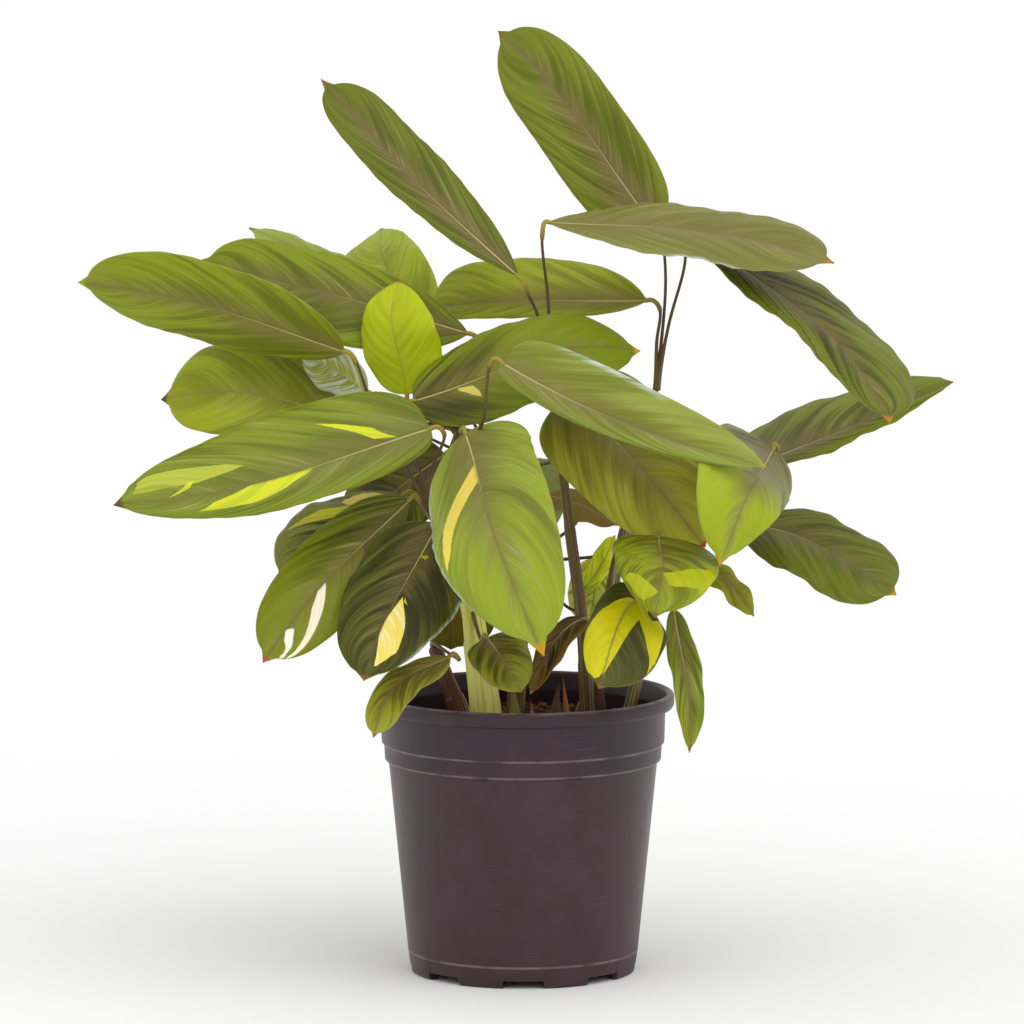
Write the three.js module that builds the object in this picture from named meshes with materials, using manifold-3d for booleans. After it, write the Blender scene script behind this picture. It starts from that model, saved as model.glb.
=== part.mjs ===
// Potted golden mosaic calathea, a prayer plant with long patterned leaves in a round nursery pot.
// Millimetres, +Z up, the front towards -Y.
// The origin is on the pot's axis, on the floor that the pot stands on.
import * as THREE from "three";
import Module from "manifold-3d";
import { mergeVertices } from "three/addons/utils/BufferGeometryUtils.js";

const wasm = await Module();
wasm.setup();

// Driving dimensions of the pot, which widens in two steps to a rim that is rolled out
const potHeight = 158;
const rimRadius = 85;
const rimFoot = 149.5;
const lipWidth = 4.5;
const lipRound = 1.4;
const footRadius = 64.8;
const grooveHeight = 12;
const shoulderRadius = 75.5;
const shoulderHeight = 119;
const bandRadius = 77.6;
const upperBandRadius = 80;
const upperBandHeight = 130;
const stepRise = 1.2;
const draft = 0.5;
const potWall = 1.8;
const potSides = 48;

// Its floor, the ring under it, and the notches and drain slots
const footRingRadius = 62.4;
const footRingWall = 3;
const footRingHeight = 5;
const potFloor = 2.2;
const floorTop = footRingHeight + potFloor;
const floorBend = 4;
const notchCount = 8;
const notchWidth = 22;
const notchHeight = 4.4;
const drainLength = 9;
const drainInset = 6;

// Driving dimensions of the soil
const soilLevel = 139;
const soilGap = 0.5;
const soilRings = 4;
const soilSides = 24;
const crumbHeight = 1.8;
const crumbLength = 7;
const rootDepth = 22;
const rootGap = 0.5;

// Driving dimensions of a leaf blade
const bladeThickness = 0.9;
const keelDepth = 0.7;
const fullness = 2.7;
const blunt = 0.96;
const tailShare = 0.17;
const baseWidth = 3;
const endWidth = 1;
const fold = 0.16;
const cup = 0.2;
const waveHeight = 1.2;
const waveCount = 5;

// Driving dimensions of a leaf stalk, which swells to a joint under the blade
const stalkFoot = 1.6;
const stalkNeck = 0.9;
const jointRadius = 1.5;
const jointLength = 13;
const jointGap = 0.6;
const usualKnee = [8, 5];
const stalkSides = 5;
const caneSides = 8;
const growthSides = 6;

// Finishes, by name
const finishes = {
  pot: { color: 0x493940, roughness: 0.42 },
  soil: { color: 0x3a2c22, roughness: 0.95 },
  olive: { color: 0x6f7030, roughness: 0.5 },
  fresh: { color: 0x84902f, roughness: 0.48 },
  mosaic: { color: 0x7f8c2e, roughness: 0.45 },
  lime: { color: 0xa2ae20, roughness: 0.45 },
  silver: { color: 0x9aa688, roughness: 0.55 },
  yellow: { color: 0xc9c616, roughness: 0.45 },
  withered: { color: 0x5e4a22, roughness: 0.7 },
  stem: { color: 0x8a8148, roughness: 0.55 },
  red_stem: { color: 0x6e3b2a, roughness: 0.6 },
  husk: { color: 0x7a5a3c, roughness: 0.85 },
  bud: { color: 0xb0686a, roughness: 0.6 },
};

// Where leaf stalks leave the shoots
const forks = {
  tall_top: { shoot: "shoot_tall", at: [75, 22, 326] },
  tall_mid: { shoot: "shoot_tall", at: [66, 20, 281] },
  tall_low: { shoot: "shoot_tall", at: [57, 18, 245] },
  centre_top: { shoot: "shoot_centre", at: [15, 6, 339] },
  centre_mid: { shoot: "shoot_centre", at: [22, 2, 283] },
  centre_low: { shoot: "shoot_centre", at: [33, -4, 199] },
  thick_top: { shoot: "shoot_thick", at: [-48, -12, 254] },
  thick_low: { shoot: "shoot_thick", at: [-30, -30, 214] },
  left_top: { shoot: "shoot_thick", at: [-35, -5, 306] },
  right_top: { shoot: "shoot_right", at: [73, -45, 227] },
  red_top: { shoot: "shoot_red", at: [-50, -12, 186] },
  back_top: { shoot: "shoot_back", at: [-13, 55, 276] },
  back_low: { shoot: "shoot_back", at: [0, 48, 225] },
};

// Shoots. A cane rises from its stand in the soil by the points listed, and tapers to its top fork.
// A branch leaves the cane inside it, and needs no stand.
const shoots = {
  shoot_tall: {
    finish: "stem",
    cane: {
      route: [[34, 14, 144], [43, 14, 162], [51, 16, 219], forks.tall_mid.at, forks.tall_top.at],
      radii: [4.2, 2.6],
    },
  },
  shoot_centre: {
    finish: "stem",
    cane: {
      route: [[36, -5, 144], [33, -4, 199], [27, -2, 244], forks.centre_mid.at, forks.centre_top.at],
      radii: [3.8, 2.4],
    },
  },
  shoot_thick: {
    finish: "stem",
    cane: {
      route: [[-20, -40, 144], [-26, -36, 192], forks.thick_low.at, forks.thick_top.at],
      radii: [9, 4.5],
    },
    branch: { route: [[-46, -14, 248], [-43, -10, 280], forks.left_top.at], radii: [3.6, 3] },
  },
  shoot_red: {
    finish: "red_stem",
    cane: { route: [[-34, -18, 144], [-42, -15, 165], forks.red_top.at], radii: [6.5, 4] },
  },
  shoot_right: {
    finish: "stem",
    cane: { route: [[58, -28, 144], [64, -30, 172], [71, -36, 203], forks.right_top.at], radii: [3.6, 2.6] },
  },
  shoot_back: {
    finish: "stem",
    cane: { route: [[-4, 42, 144], [-2, 44, 180], forks.back_low.at, forks.back_top.at], radii: [5, 3] },
  },
};

// Leaves. A blade runs from its joint to its tip, and its upper face looks the way that faces says.
// Arch lifts its middle along that face, and sway bows it to its right, both most where lean says.
// Skew widens its right and narrows its left. Full squares the outline, and belly moves its widest place.
// The stalk leaves the fork, runs by the points listed, and bends down at its knee behind the joint.
const leaves = {
  leaf_crown: {
    joint: [74, 30, 417], tip: [-14, 85, 524], faces: [-0.31, -0.93, 0.21],
    width: 51, arch: 9, lean: 1.6, sway: 6, skew: -0.06, full: 3.6, belly: 0.89, finish: "olive",
    fork: "tall_top", by: [[80, 25, 384]],
  },
  leaf_flat: {
    joint: [14, -22, 424], tip: [172, -30, 402], faces: [0, -0.41, 0.91],
    width: 62, arch: -1, lean: 1.22, sway: -16, full: 2.9, belly: 1.6, knee: [3.5, 9], finish: "olive",
    fork: "centre_top", by: [[14, -4, 378]],
  },
  leaf_shoulder: {
    joint: [98, 12, 413], tip: [202, -60, 316], faces: [0.61, -0.51, 0.61],
    width: 64, arch: 7, lean: 1.34, sway: -11, skew: -0.3, full: 3.3, belly: 1.39, finish: "olive",
    fork: "tall_top", by: [[82, 20, 364], [90, 17, 394]],
  },
  leaf_reach_right: {
    joint: [137, 55, 282], tip: [245, 75, 325], faces: [-0.1, -0.4, 0.91],
    width: 55, arch: -10, lean: 0.9, sway: -13, skew: -0.5, full: 2, belly: 0.6, finish: "olive",
    fork: "tall_mid", by: [[95, 42, 283]],
  },
  leaf_low_right: {
    joint: [119, 5, 249], tip: [208, -25, 216], faces: [0.19, -0.48, 0.86],
    width: 65, arch: 9, lean: 0.7, sway: -4, skew: 0.03, full: 3.8, belly: 1.37, finish: "olive",
    fork: "tall_low", by: [[90, 14, 258]],
  },
  leaf_under_right: {
    joint: [96, 45, 226], tip: [131, 40, 195], faces: [0.4, -0.6, 0.7],
    width: 20, arch: 5, sway: -1, finish: "olive", fork: "tall_low", by: [[75, 34, 240]],
  },
  leaf_spear: {
    joint: [-3, 2, 392], tip: [-114, 62, 498], faces: [0.19, -0.86, 0.48],
    width: 36, arch: 1, lean: 1.07, sway: -4, skew: 0.2, full: 3.4, belly: 1.6, finish: "olive",
    fork: "centre_top", by: [[8, 4, 370]],
  },
  leaf_screen: {
    joint: [69, 25, 376], tip: [-56, 60, 368], faces: [-0.1, -0.91, 0.4],
    width: 35, arch: 11, lean: 1.44, sway: -1, skew: 0.45, full: 3.8, belly: 1.34, finish: "olive",
    fork: "tall_top", by: [[75, 22, 352]],
  },
  leaf_middle: {
    joint: [-61, -28, 325], tip: [65, -20, 352], faces: [0, -0.71, 0.71],
    width: 60, arch: 16, lean: 1.6, full: 2.4, belly: 0.87, finish: "fresh", fork: "left_top",
  },
  leaf_sliver: {
    joint: [-58, 66, 358], tip: [-156, 86, 412], faces: [0.1, -0.3, 0.95],
    width: 40, arch: 4, finish: "silver", fork: "back_top", by: [[-35, 60, 325]],
  },
  leaf_upper_left: {
    joint: [-31, 20, 358], tip: [-184, 40, 397], faces: [0, -0.87, 0.49],
    width: 53, arch: 13, lean: 0.93, sway: -4, skew: -0.09, full: 3.8, belly: 1.49, finish: "olive",
    fork: "left_top",
  },
  leaf_reach_left: {
    joint: [-100, -12, 351], tip: [-248, -5, 389], faces: [-0.21, -0.93, -0.31],
    width: 49, arch: 18, lean: 1.18, sway: 15, skew: 0.08, full: 2.4, belly: 1.17, finish: "fresh",
    fork: "thick_top", by: [[-66, -14, 288], [-86, -12, 326]],
  },
  leaf_mid_left: {
    joint: [-95, 28, 308], tip: [-203, 16, 321], faces: [0, -0.71, 0.71],
    width: 70, arch: 15, lean: 1.25, sway: -1, skew: 0.12, full: 3.1, belly: 1.13, finish: "fresh",
    fork: "thick_top", by: [[-60, 10, 284]],
  },
  leaf_silver: {
    joint: [-87, 4, 327], tip: [-125, 22, 346], faces: [-0.1, 0.8, 0.5],
    width: 34, arch: 3, finish: "silver", fork: "back_top",
  },
  leaf_mosaic: {
    joint: [-51, -50, 312], tip: [-223, -112, 277], faces: [0, -0.87, 0.49],
    width: 57, arch: -6, lean: 1.26, sway: -5, skew: 0.34, full: 2, belly: 0.71, finish: "mosaic",
    fork: "thick_top", by: [[-53, -32, 280]],
  },
  leaf_low_left_back: {
    joint: [-67, -1, 269], tip: [-136, -32, 226], faces: [-0.39, -0.49, 0.78],
    width: 59, arch: 9, lean: 1.33, sway: -1, skew: 0.11, full: 2.6, belly: 1.15, knee: [8, 3],
    finish: "mosaic", fork: "thick_top", by: [[-56, 0, 262]],
  },
  leaf_low_left: {
    joint: [-63, -22, 269], tip: [-143, -88, 187], faces: [-0.1, -0.91, 0.4],
    width: 50, arch: 8, lean: 1.27, sway: 2, full: 2.9, finish: "mosaic", fork: "thick_top",
  },
  leaf_low_centre: {
    joint: [-47, -54, 260], tip: [-87, -122, 182], faces: [-0.29, -0.77, 0.57],
    width: 70, arch: 5, lean: 1.6, sway: 1, skew: -0.06, full: 2.6, belly: 0.69, finish: "mosaic",
    fork: "thick_top",
  },
  leaf_front: {
    joint: [-32, -53, 310], tip: [11, -161, 201], faces: [-0.49, -0.78, 0.39],
    width: 75, arch: 42, lean: 1.6, sway: -13, full: 3.8, finish: "mosaic", fork: "left_top",
  },
  leaf_front_right: {
    joint: [-12, -62, 350], tip: [133, -98, 296], faces: [-0.1, -0.94, 0.31],
    width: 36, arch: 4, lean: 0.91, sway: 7, skew: -0.42, full: 2, belly: 0.6, finish: "olive",
    fork: "left_top", by: [[-22, -66, 318]],
  },
  leaf_shade: {
    joint: [24, -6, 326], tip: [101, -43, 245], faces: [-0.19, -0.86, 0.48],
    width: 69, arch: 10, sway: -2, belly: 0.66, finish: "olive", fork: "centre_mid",
  },
  leaf_bib: {
    joint: [139, -25, 298], tip: [107, -100, 242], faces: [0.5, -0.7, 0.5],
    width: 57, arch: 24, lean: 1.6, sway: 10, skew: 0.2, full: 3, belly: 0.82, finish: "fresh",
    fork: "tall_mid", by: [[100, 4, 290]],
  },
  leaf_patch: {
    joint: [75, -58, 253], tip: [71, -132, 218], faces: [0.1, -0.6, 0.8],
    width: 58, arch: 14, lean: 1.6, sway: -2, skew: -0.08, full: 3.2, belly: 0.78, finish: "mosaic",
    fork: "right_top",
  },
  leaf_yellow: {
    joint: [68, -78, 221], tip: [41, -126, 178], faces: [0.2, -0.9, 0.4],
    width: 44, arch: 10, lean: 0.7, sway: 8, skew: -0.29, full: 3.1, belly: 0.88, finish: "yellow",
    fork: "right_top",
  },
  leaf_tail: {
    joint: [83, -72, 214], tip: [91, -100, 139], faces: [0.39, -0.87, 0.29],
    width: 19, arch: 7, lean: 1.49, skew: -0.09, full: 2, belly: 0.91, finish: "olive",
    fork: "right_top",
  },
  leaf_edge: {
    joint: [-41, -66, 187], tip: [-82, -112, 149], faces: [0.1, -0.6, 0.8],
    width: 21, arch: 6, lean: 1.16, sway: 9, skew: -0.17, full: 3.5, belly: 1.24, finish: "olive",
    fork: "red_top", by: [[-50, -32, 190]],
  },
  leaf_close: {
    joint: [-20, -62, 197], tip: [-1, -92, 171], faces: [0, -0.87, 0.49],
    width: 32, arch: 5, full: 2.6, belly: 0.7, finish: "olive", fork: "thick_low",
  },
  leaf_old: {
    joint: [34, -22, 202], tip: [4, -58, 165], faces: [-0.21, -0.74, 0.64],
    width: 17, arch: 7, lean: 0.8, sway: 3, skew: -0.08, full: 2.1, belly: 0.77, finish: "withered",
    fork: "centre_low",
  },
  leaf_narrow: {
    joint: [34, 26, 212], tip: [52, 34, 242], faces: [0.5, -0.8, 0.1],
    width: 14, arch: 3, finish: "lime", fork: "back_low",
  },
  leaf_pale: {
    joint: [44, 56, 226], tip: [38, 78, 185], faces: [0, -0.9, 0.3],
    width: 30, arch: 3, finish: "fresh", fork: "back_low",
  },
  leaf_brown: {
    joint: [14, 30, 266], tip: [54, 48, 246], faces: [0, 0.6, 0.8],
    width: 28, arch: 3, finish: "withered", fork: "back_low",
  },
  leaf_new: {
    joint: [-65, -2, 326], tip: [-69, 9, 389], faces: [-0.28, -0.94, 0.2],
    width: 45, arch: 13, lean: 1.58, sway: -2, skew: 0.12, full: 2, belly: 0.86, finish: "lime",
    fork: "thick_top", by: [[-58, -10, 285]],
  },
  leaf_back_left: {
    joint: [-57, 80, 360], tip: [-82, 165, 405], faces: [-0.41, -0.41, 0.82],
    width: 56, arch: 9, lean: 1.04, sway: -6, skew: -0.2, full: 2, belly: 0.81, finish: "fresh",
    fork: "back_top",
  },
  leaf_behind_low: {
    joint: [-38, 30, 229], tip: [-41, 55, 174], faces: [0, -0.8, 0.4],
    width: 50, arch: 6, finish: "olive", fork: "back_low",
  },
  leaf_dark_left: {
    joint: [-44, 34, 288], tip: [-100, 54, 237], faces: [-0.1, -0.8, 0.5],
    width: 54, arch: 6, finish: "olive", fork: "back_top",
  },
  leaf_rear_left: {
    joint: [-44, 82, 302], tip: [-124, 160, 276], faces: [-0.2, 0.6, 0.8],
    width: 60, arch: 16, finish: "olive", fork: "back_top",
  },
  leaf_rear_right: {
    joint: [26, 80, 288], tip: [112, 152, 272], faces: [0.2, 0.6, 0.8],
    width: 58, arch: 14, finish: "olive", fork: "back_top",
  },
  leaf_rear_centre: {
    joint: [-10, 82, 280], tip: [-4, 178, 213], faces: [0, 0.7, 0.7],
    width: 66, arch: 18, finish: "fresh", fork: "back_top",
  },
  leaf_rear_low: {
    joint: [34, 62, 252], tip: [98, 136, 232], faces: [0.2, 0.6, 0.8],
    width: 50, arch: 12, finish: "mosaic", fork: "back_low",
  },
  leaf_rear_side: {
    joint: [-36, 64, 240], tip: [-100, 122, 208], faces: [-0.3, 0.6, 0.8],
    width: 52, arch: 14, finish: "olive", fork: "back_low",
  },
};

// Small growths that stand in the soil between the canes
const growths = {
  sheath_green: { stand: [-4, -46], lean: [-2, 2], height: 33, radius: 4.4, finish: "stem" },
  sheath_brown: { stand: [17, -36], lean: [3, 3], height: 31, radius: 4.2, finish: "husk" },
  sheath_tall: { stand: [44, -14], lean: [-4, 2], height: 45, radius: 3.2, finish: "husk" },
  bud_pink: { stand: [6, -48], lean: [-2, -5], height: 23, radius: 3, finish: "bud" },
  bract_dry: { stand: [25, -20], lean: [-3, 2], height: 33, radius: 2, finish: "husk" },
};

function vec(point) {
  return new THREE.Vector3(point[0], point[1], point[2]);
}

function solidOf(geometry) {
  const bare = geometry.clone();
  bare.deleteAttribute("normal");
  bare.deleteAttribute("uv");
  const merged = mergeVertices(bare, 1e-5);
  const mesh = new wasm.Mesh({
    numProp: 3,
    vertProperties: new Float32Array(merged.attributes.position.array),
    triVerts: new Uint32Array(merged.index.array),
  });
  return new wasm.Manifold(mesh);
}

function geometryOf(solid) {
  const mesh = solid.getMesh();
  const geometry = new THREE.BufferGeometry();
  geometry.setAttribute("position", new THREE.BufferAttribute(new Float32Array(mesh.vertProperties), 3));
  geometry.setIndex(new THREE.BufferAttribute(new Uint32Array(mesh.triVerts), 1));
  return geometry;
}

function fused(geometries) {
  return geometries.map(solidOf).reduce((all, next) => all.add(next));
}

function meshOf(name, geometry, finish) {
  geometry.deleteAttribute("normal");
  geometry.computeVertexNormals();
  const look = finishes[finish];
  const material = new THREE.MeshStandardMaterial({
    color: look.color,
    roughness: look.roughness,
    metalness: 0,
    flatShading: false,
  });
  const mesh = new THREE.Mesh(geometry, material);
  mesh.name = name;
  return mesh;
}

// Rows along a blade, closer together at its round ends
const bladeRows = [0, 0.035, 0.12, 0.25, 0.4, 0.55, 0.7, 0.82, 0.91, 0.955, 1];
const smallBladeRows = [0, 0.05, 0.2, 0.4, 0.6, 0.8, 0.93, 1];
const smallBlade = 36;
const bladeColumns = [-1, -0.55, 0, 0.55, 1];

// Half the width of a blade at u along it: an oblong with round ends and a short drip tip
function halfWidth(leaf, u) {
  const run = Math.min(1, u / blunt) ** (leaf.belly ?? 1);
  const oblong = Math.sqrt(Math.max(0, 1 - Math.abs(2 * run - 1) ** (leaf.full ?? fullness)));
  const tail = u > blunt ? tailShare * (1 - u) / (1 - blunt) : 0;
  const least = u > 0.5 ? endWidth : baseWidth;
  return Math.max(leaf.width / 2 * Math.max(oblong, tail), least / 2);
}

// A leaf's middle line, and the frame that the blade has along it
function bladeFrame(leaf) {
  const joint = vec(leaf.joint);
  const chord = vec(leaf.tip).sub(joint);
  const length = chord.length();
  const along = chord.clone().normalize();
  const up = vec(leaf.faces).addScaledVector(along, -along.dot(vec(leaf.faces))).normalize();
  const side = along.clone().cross(up);
  const arch = leaf.arch;
  const sway = leaf.sway ?? 0;
  const lean = leaf.lean ?? 1;
  return function frameAt(u) {
    const bow = Math.sin(Math.PI * u ** lean);
    const slope = Math.PI * lean * Math.max(u, 1e-3) ** (lean - 1) * Math.cos(Math.PI * u ** lean);
    const middle = joint.clone().addScaledVector(along, length * u).addScaledVector(up, arch * bow)
      .addScaledVector(side, sway * bow);
    const tangent = along.clone().multiplyScalar(length).addScaledVector(up, arch * slope)
      .addScaledVector(side, sway * slope).normalize();
    const normal = up.clone().addScaledVector(tangent, -up.dot(tangent)).normalize();
    return { middle, tangent, normal, side: tangent.clone().cross(normal) };
  };
}

// A blade is a thin shell: an upper sheet, folded along the midrib, cupped and waved at its margins,
// and a lower sheet with the same rows, with the midrib's keel standing out under it.
function bladeGeometry(leaf) {
  const frameAt = bladeFrame(leaf);
  const skew = leaf.skew ?? 0;
  const shares = leaf.width < smallBlade ? smallBladeRows : bladeRows;
  const rows = shares.length;
  const columns = bladeColumns.length;
  const positions = [];
  for (const face of [1, -1]) {
    for (const u of shares) {
      const { middle, normal, side } = frameAt(u);
      const half = halfWidth(leaf, u);
      for (const v of bladeColumns) {
        const dish = half * (fold * Math.abs(v) - cup * v * v);
        const wave = Math.sin(waveCount * Math.PI * u + (v > 0 ? 0 : 2)) * Math.sin(Math.PI * u);
        const ripple = waveHeight * v * v * wave;
        const keel = face < 0 && v === 0 ? keelDepth * (1 - u) : 0;
        const height = dish + ripple + face * bladeThickness / 2 - keel;
        const across = half * v * (1 + skew * v);
        const point = middle.clone().addScaledVector(side, across).addScaledVector(normal, height);
        positions.push(point.x, point.y, point.z);
      }
    }
  }
  const indices = [];
  const at = (face, row, column) => (face * rows + row) * columns + column;
  const quad = (a, b, c, d) => indices.push(a, b, c, a, c, d);
  const end = rows - 1;
  const right = columns - 1;
  for (let row = 0; row < rows - 1; row += 1) {
    for (let column = 0; column < columns - 1; column += 1) {
      const near = [at(0, row, column), at(0, row, column + 1)];
      const far = near.map((corner) => corner + columns);
      const [low0, low1, low2, low3] = [...near, ...far].map((corner) => corner + rows * columns);
      indices.push(near[0], far[1], far[0], near[0], near[1], far[1]);
      indices.push(low0, low2, low3, low0, low3, low1);
    }
    quad(at(0, row, 0), at(0, row + 1, 0), at(1, row + 1, 0), at(1, row, 0));
    quad(at(0, row, right), at(1, row, right), at(1, row + 1, right), at(0, row + 1, right));
  }
  for (let column = 0; column < columns - 1; column += 1) {
    quad(at(0, 0, column), at(1, 0, column), at(1, 0, column + 1), at(0, 0, column + 1));
    quad(at(0, end, column), at(0, end, column + 1), at(1, end, column + 1), at(1, end, column));
  }
  const geometry = new THREE.BufferGeometry();
  geometry.setAttribute("position", new THREE.Float32BufferAttribute(positions, 3));
  geometry.setIndex(indices);
  return geometry;
}

// A round rod that follows a route: a cylinder whose rings are set along the curve,
// each at its share of the length and with its own radius.
function rodGeometry(route, shares, radii, sides) {
  const curve = new THREE.CatmullRomCurve3(route.map(vec), false, "centripetal");
  const rings = shares.length - 1;
  const geometry = new THREE.CylinderGeometry(1, 1, 1, sides, rings);
  const position = geometry.attributes.position;
  const frames = [];
  let normal = new THREE.Vector3(1, 0.2, 0);
  for (const share of shares) {
    const tangent = curve.getTangentAt(share);
    normal = normal.clone().addScaledVector(tangent, -normal.dot(tangent)).normalize();
    frames.push({ centre: curve.getPointAt(share), normal, binormal: normal.clone().cross(tangent) });
  }
  for (let i = 0; i < position.count; i += 1) {
    const ring = Math.round((position.getY(i) + 0.5) * rings);
    const { centre, normal: across, binormal } = frames[ring];
    const point = centre.clone().addScaledVector(across, position.getX(i) * radii[ring])
      .addScaledVector(binormal, position.getZ(i) * radii[ring]);
    position.setXYZ(i, point.x, point.y, point.z);
  }
  return geometry;
}

// A cane's straight foot, which stands in its hole in the soil and reaches a little into the cane
function footGeometry({ route: [[x, y, z]], radii: [radius] }) {
  const reach = 2;
  const height = rootDepth + z - soilLevel + reach;
  const foot = new THREE.CylinderGeometry(radius, radius, height, caneSides);
  foot.rotateX(Math.PI / 2);
  foot.translate(x, y, z + reach - height / 2);
  return foot;
}

function caneGeometry({ route, radii: [low, high] }) {
  const steps = 2 * (route.length - 1);
  const shares = Array.from({ length: steps + 1 }, (_, i) => i / steps);
  const radii = shares.map((share) => THREE.MathUtils.lerp(low, high, share));
  return rodGeometry(route, shares, radii, caneSides);
}

// A small growth, straight in the soil and tapering to a point above it
function growthGeometry(growth) {
  const [x, y] = growth.stand;
  const [dx, dy] = growth.lean;
  const top = soilLevel + growth.height;
  const route = [[x, y, soilLevel - rootDepth], [x, y, soilLevel], [x + dx, y + dy, top]];
  const shares = [0, 0.2, 0.45, 0.6, 0.8, 1];
  const radii = [1, 1, 1, 0.95, 0.7, 0.25].map((share) => share * growth.radius);
  return rodGeometry(route, shares, radii, growthSides);
}

// A leaf stalk: thin, a little thicker at its foot, with the swollen joint at its end
function stalkGeometry(leaf) {
  const { tangent } = bladeFrame(leaf)(0);
  const joint = vec(leaf.joint);
  const end = joint.clone().addScaledVector(tangent, -jointGap);
  const [back, down] = leaf.knee ?? usualKnee;
  const collar = joint.clone().addScaledVector(tangent, -back / 2);
  const elbow = joint.clone().addScaledVector(tangent, -back).add(new THREE.Vector3(0, 0, -down));
  const bends = [elbow, collar, end].map((point) => point.toArray());
  const route = [forks[leaf.fork].at, ...(leaf.by ?? []), ...bends];
  const length = new THREE.CatmullRomCurve3(route.map(vec), false, "centripetal").getLength();
  const neck = 1 - jointLength / length;
  const stalk = [0, 0.25, 0.5, 0.75, 1];
  const swelling = [0.2, 0.85, 1];
  const shares = stalk.map((share) => share * neck);
  shares.push(...swelling.map((share) => neck + share * (1 - neck)));
  const radii = stalk.map((share) => THREE.MathUtils.lerp(stalkFoot, stalkNeck, share));
  radii.push(jointRadius, jointRadius, stalkNeck);
  return rodGeometry(route, shares, radii, stalkSides);
}

// The inside of the pot's wall, from below the rim down to the floor, as radii and heights
const innerWall = [
  [upperBandRadius - potWall, rimFoot - 2],
  [upperBandRadius - potWall, upperBandHeight + 2],
  [bandRadius - potWall, upperBandHeight - 2],
  [shoulderRadius - potWall, shoulderHeight - 2],
  [footRadius - potWall, floorTop + floorBend],
  [footRadius - potWall - 3, floorTop],
];

// The pot's closed outline, from the floor's underside up the outside to the lip and down the inside
const potOutline = [
  [0, footRingHeight],
  [footRingRadius - footRingWall, footRingHeight],
  [footRingRadius - footRingWall, 0],
  [footRingRadius, 0],
  [footRingRadius + stepRise, stepRise],
  [footRadius, grooveHeight],
  [shoulderRadius, shoulderHeight],
  [bandRadius, shoulderHeight + stepRise],
  [bandRadius + draft, upperBandHeight - stepRise],
  [upperBandRadius - draft, upperBandHeight],
  [upperBandRadius, rimFoot - draft],
  [rimRadius - stepRise, rimFoot],
  [rimRadius, rimFoot + 2],
  [rimRadius, potHeight - lipRound],
  [rimRadius - lipRound, potHeight],
  [rimRadius - lipWidth + lipRound, potHeight],
  [rimRadius - lipWidth, potHeight - lipRound],
  ...innerWall,
  [0, floorTop],
];

function lathe(outline, sides) {
  const geometry = new THREE.LatheGeometry(outline.map(([r, z]) => new THREE.Vector2(r, z)), sides);
  geometry.rotateX(Math.PI / 2);
  return geometry;
}

// A box as wide as a notch, in one of the places around the foot
function notchBox(index, near, far, low, high) {
  const box = new THREE.BoxGeometry(notchWidth, far - near, high - low);
  box.translate(0, -(near + far) / 2, (low + high) / 2);
  box.rotateZ(index * 2 * Math.PI / notchCount);
  return box;
}

// The pot, with a notch through its foot ring and a drain slot through its floor at each place
function potGeometry() {
  let pot = solidOf(lathe(potOutline, potSides));
  const drainFar = footRingRadius - footRingWall - drainInset;
  for (let index = 0; index < notchCount; index += 1) {
    const notch = notchBox(index, drainFar + 1, rimRadius, -1, notchHeight);
    const drain = notchBox(index, drainFar - drainLength, drainFar, notchHeight, floorTop + 1);
    pot = pot.subtract(solidOf(notch)).subtract(solidOf(drain));
  }
  return geometryOf(pot);
}

// The soil fills the pot to its level, with a crumbly top and a plain hole for each foot
function soilGeometry() {
  const wall = innerWall.slice(1).map(([r, z]) => [r - soilGap, z]).reverse();
  wall[0][1] += soilGap;
  const edge = upperBandRadius - potWall - soilGap;
  const top = Array.from({ length: soilRings + 1 }, (_, i) => [edge * (1 - i / soilRings), soilLevel]);
  const geometry = lathe([[0, wall[0][1]], ...wall, ...top], soilSides);
  const position = geometry.attributes.position;
  for (let i = 0; i < position.count; i += 1) {
    const [x, y, z] = [position.getX(i), position.getY(i), position.getZ(i)];
    if (z > soilLevel - 1) {
      const crumbs = Math.sin(x / crumbLength + 1) * Math.cos(y / crumbLength);
      position.setZ(i, z + crumbHeight * crumbs);
    }
  }
  let soil = solidOf(geometry);
  const above = 20;
  for (const { x, y, radius } of feet()) {
    const hole = new THREE.CylinderGeometry(radius, radius, rootDepth + above, caneSides);
    hole.rotateX(Math.PI / 2);
    hole.translate(x, y, soilLevel - rootGap + (above - rootDepth) / 2);
    soil = soil.subtract(solidOf(hole));
  }
  return geometryOf(soil);
}

// Places and radii of the holes that canes and growths stand in
function feet() {
  const canes = Object.values(shoots).map(({ cane: { route: [[x, y]], radii } }) => {
    return { x, y, radius: radii[0] + rootGap };
  });
  const small = Object.values(growths).map(({ stand: [x, y], radius }) => {
    return { x, y, radius: radius + 2 * rootGap };
  });
  return [...canes, ...small];
}

const plant = new THREE.Group();
plant.add(meshOf("pot", potGeometry(), "pot"));
plant.add(meshOf("soil", soilGeometry(), "soil"));

for (const [name, shoot] of Object.entries(shoots)) {
  const own = Object.values(leaves).filter((leaf) => forks[leaf.fork].shoot === name);
  const rods = [shoot.cane, shoot.branch].filter(Boolean).map(caneGeometry);
  const solid = fused([footGeometry(shoot.cane), ...rods, ...own.map(stalkGeometry)]);
  plant.add(meshOf(name, geometryOf(solid), shoot.finish));
}

for (const [name, growth] of Object.entries(growths)) {
  plant.add(meshOf(name, growthGeometry(growth), growth.finish));
}

for (const [name, leaf] of Object.entries(leaves)) {
  plant.add(meshOf(name, bladeGeometry(leaf), leaf.finish));
}

export default plant;
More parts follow.
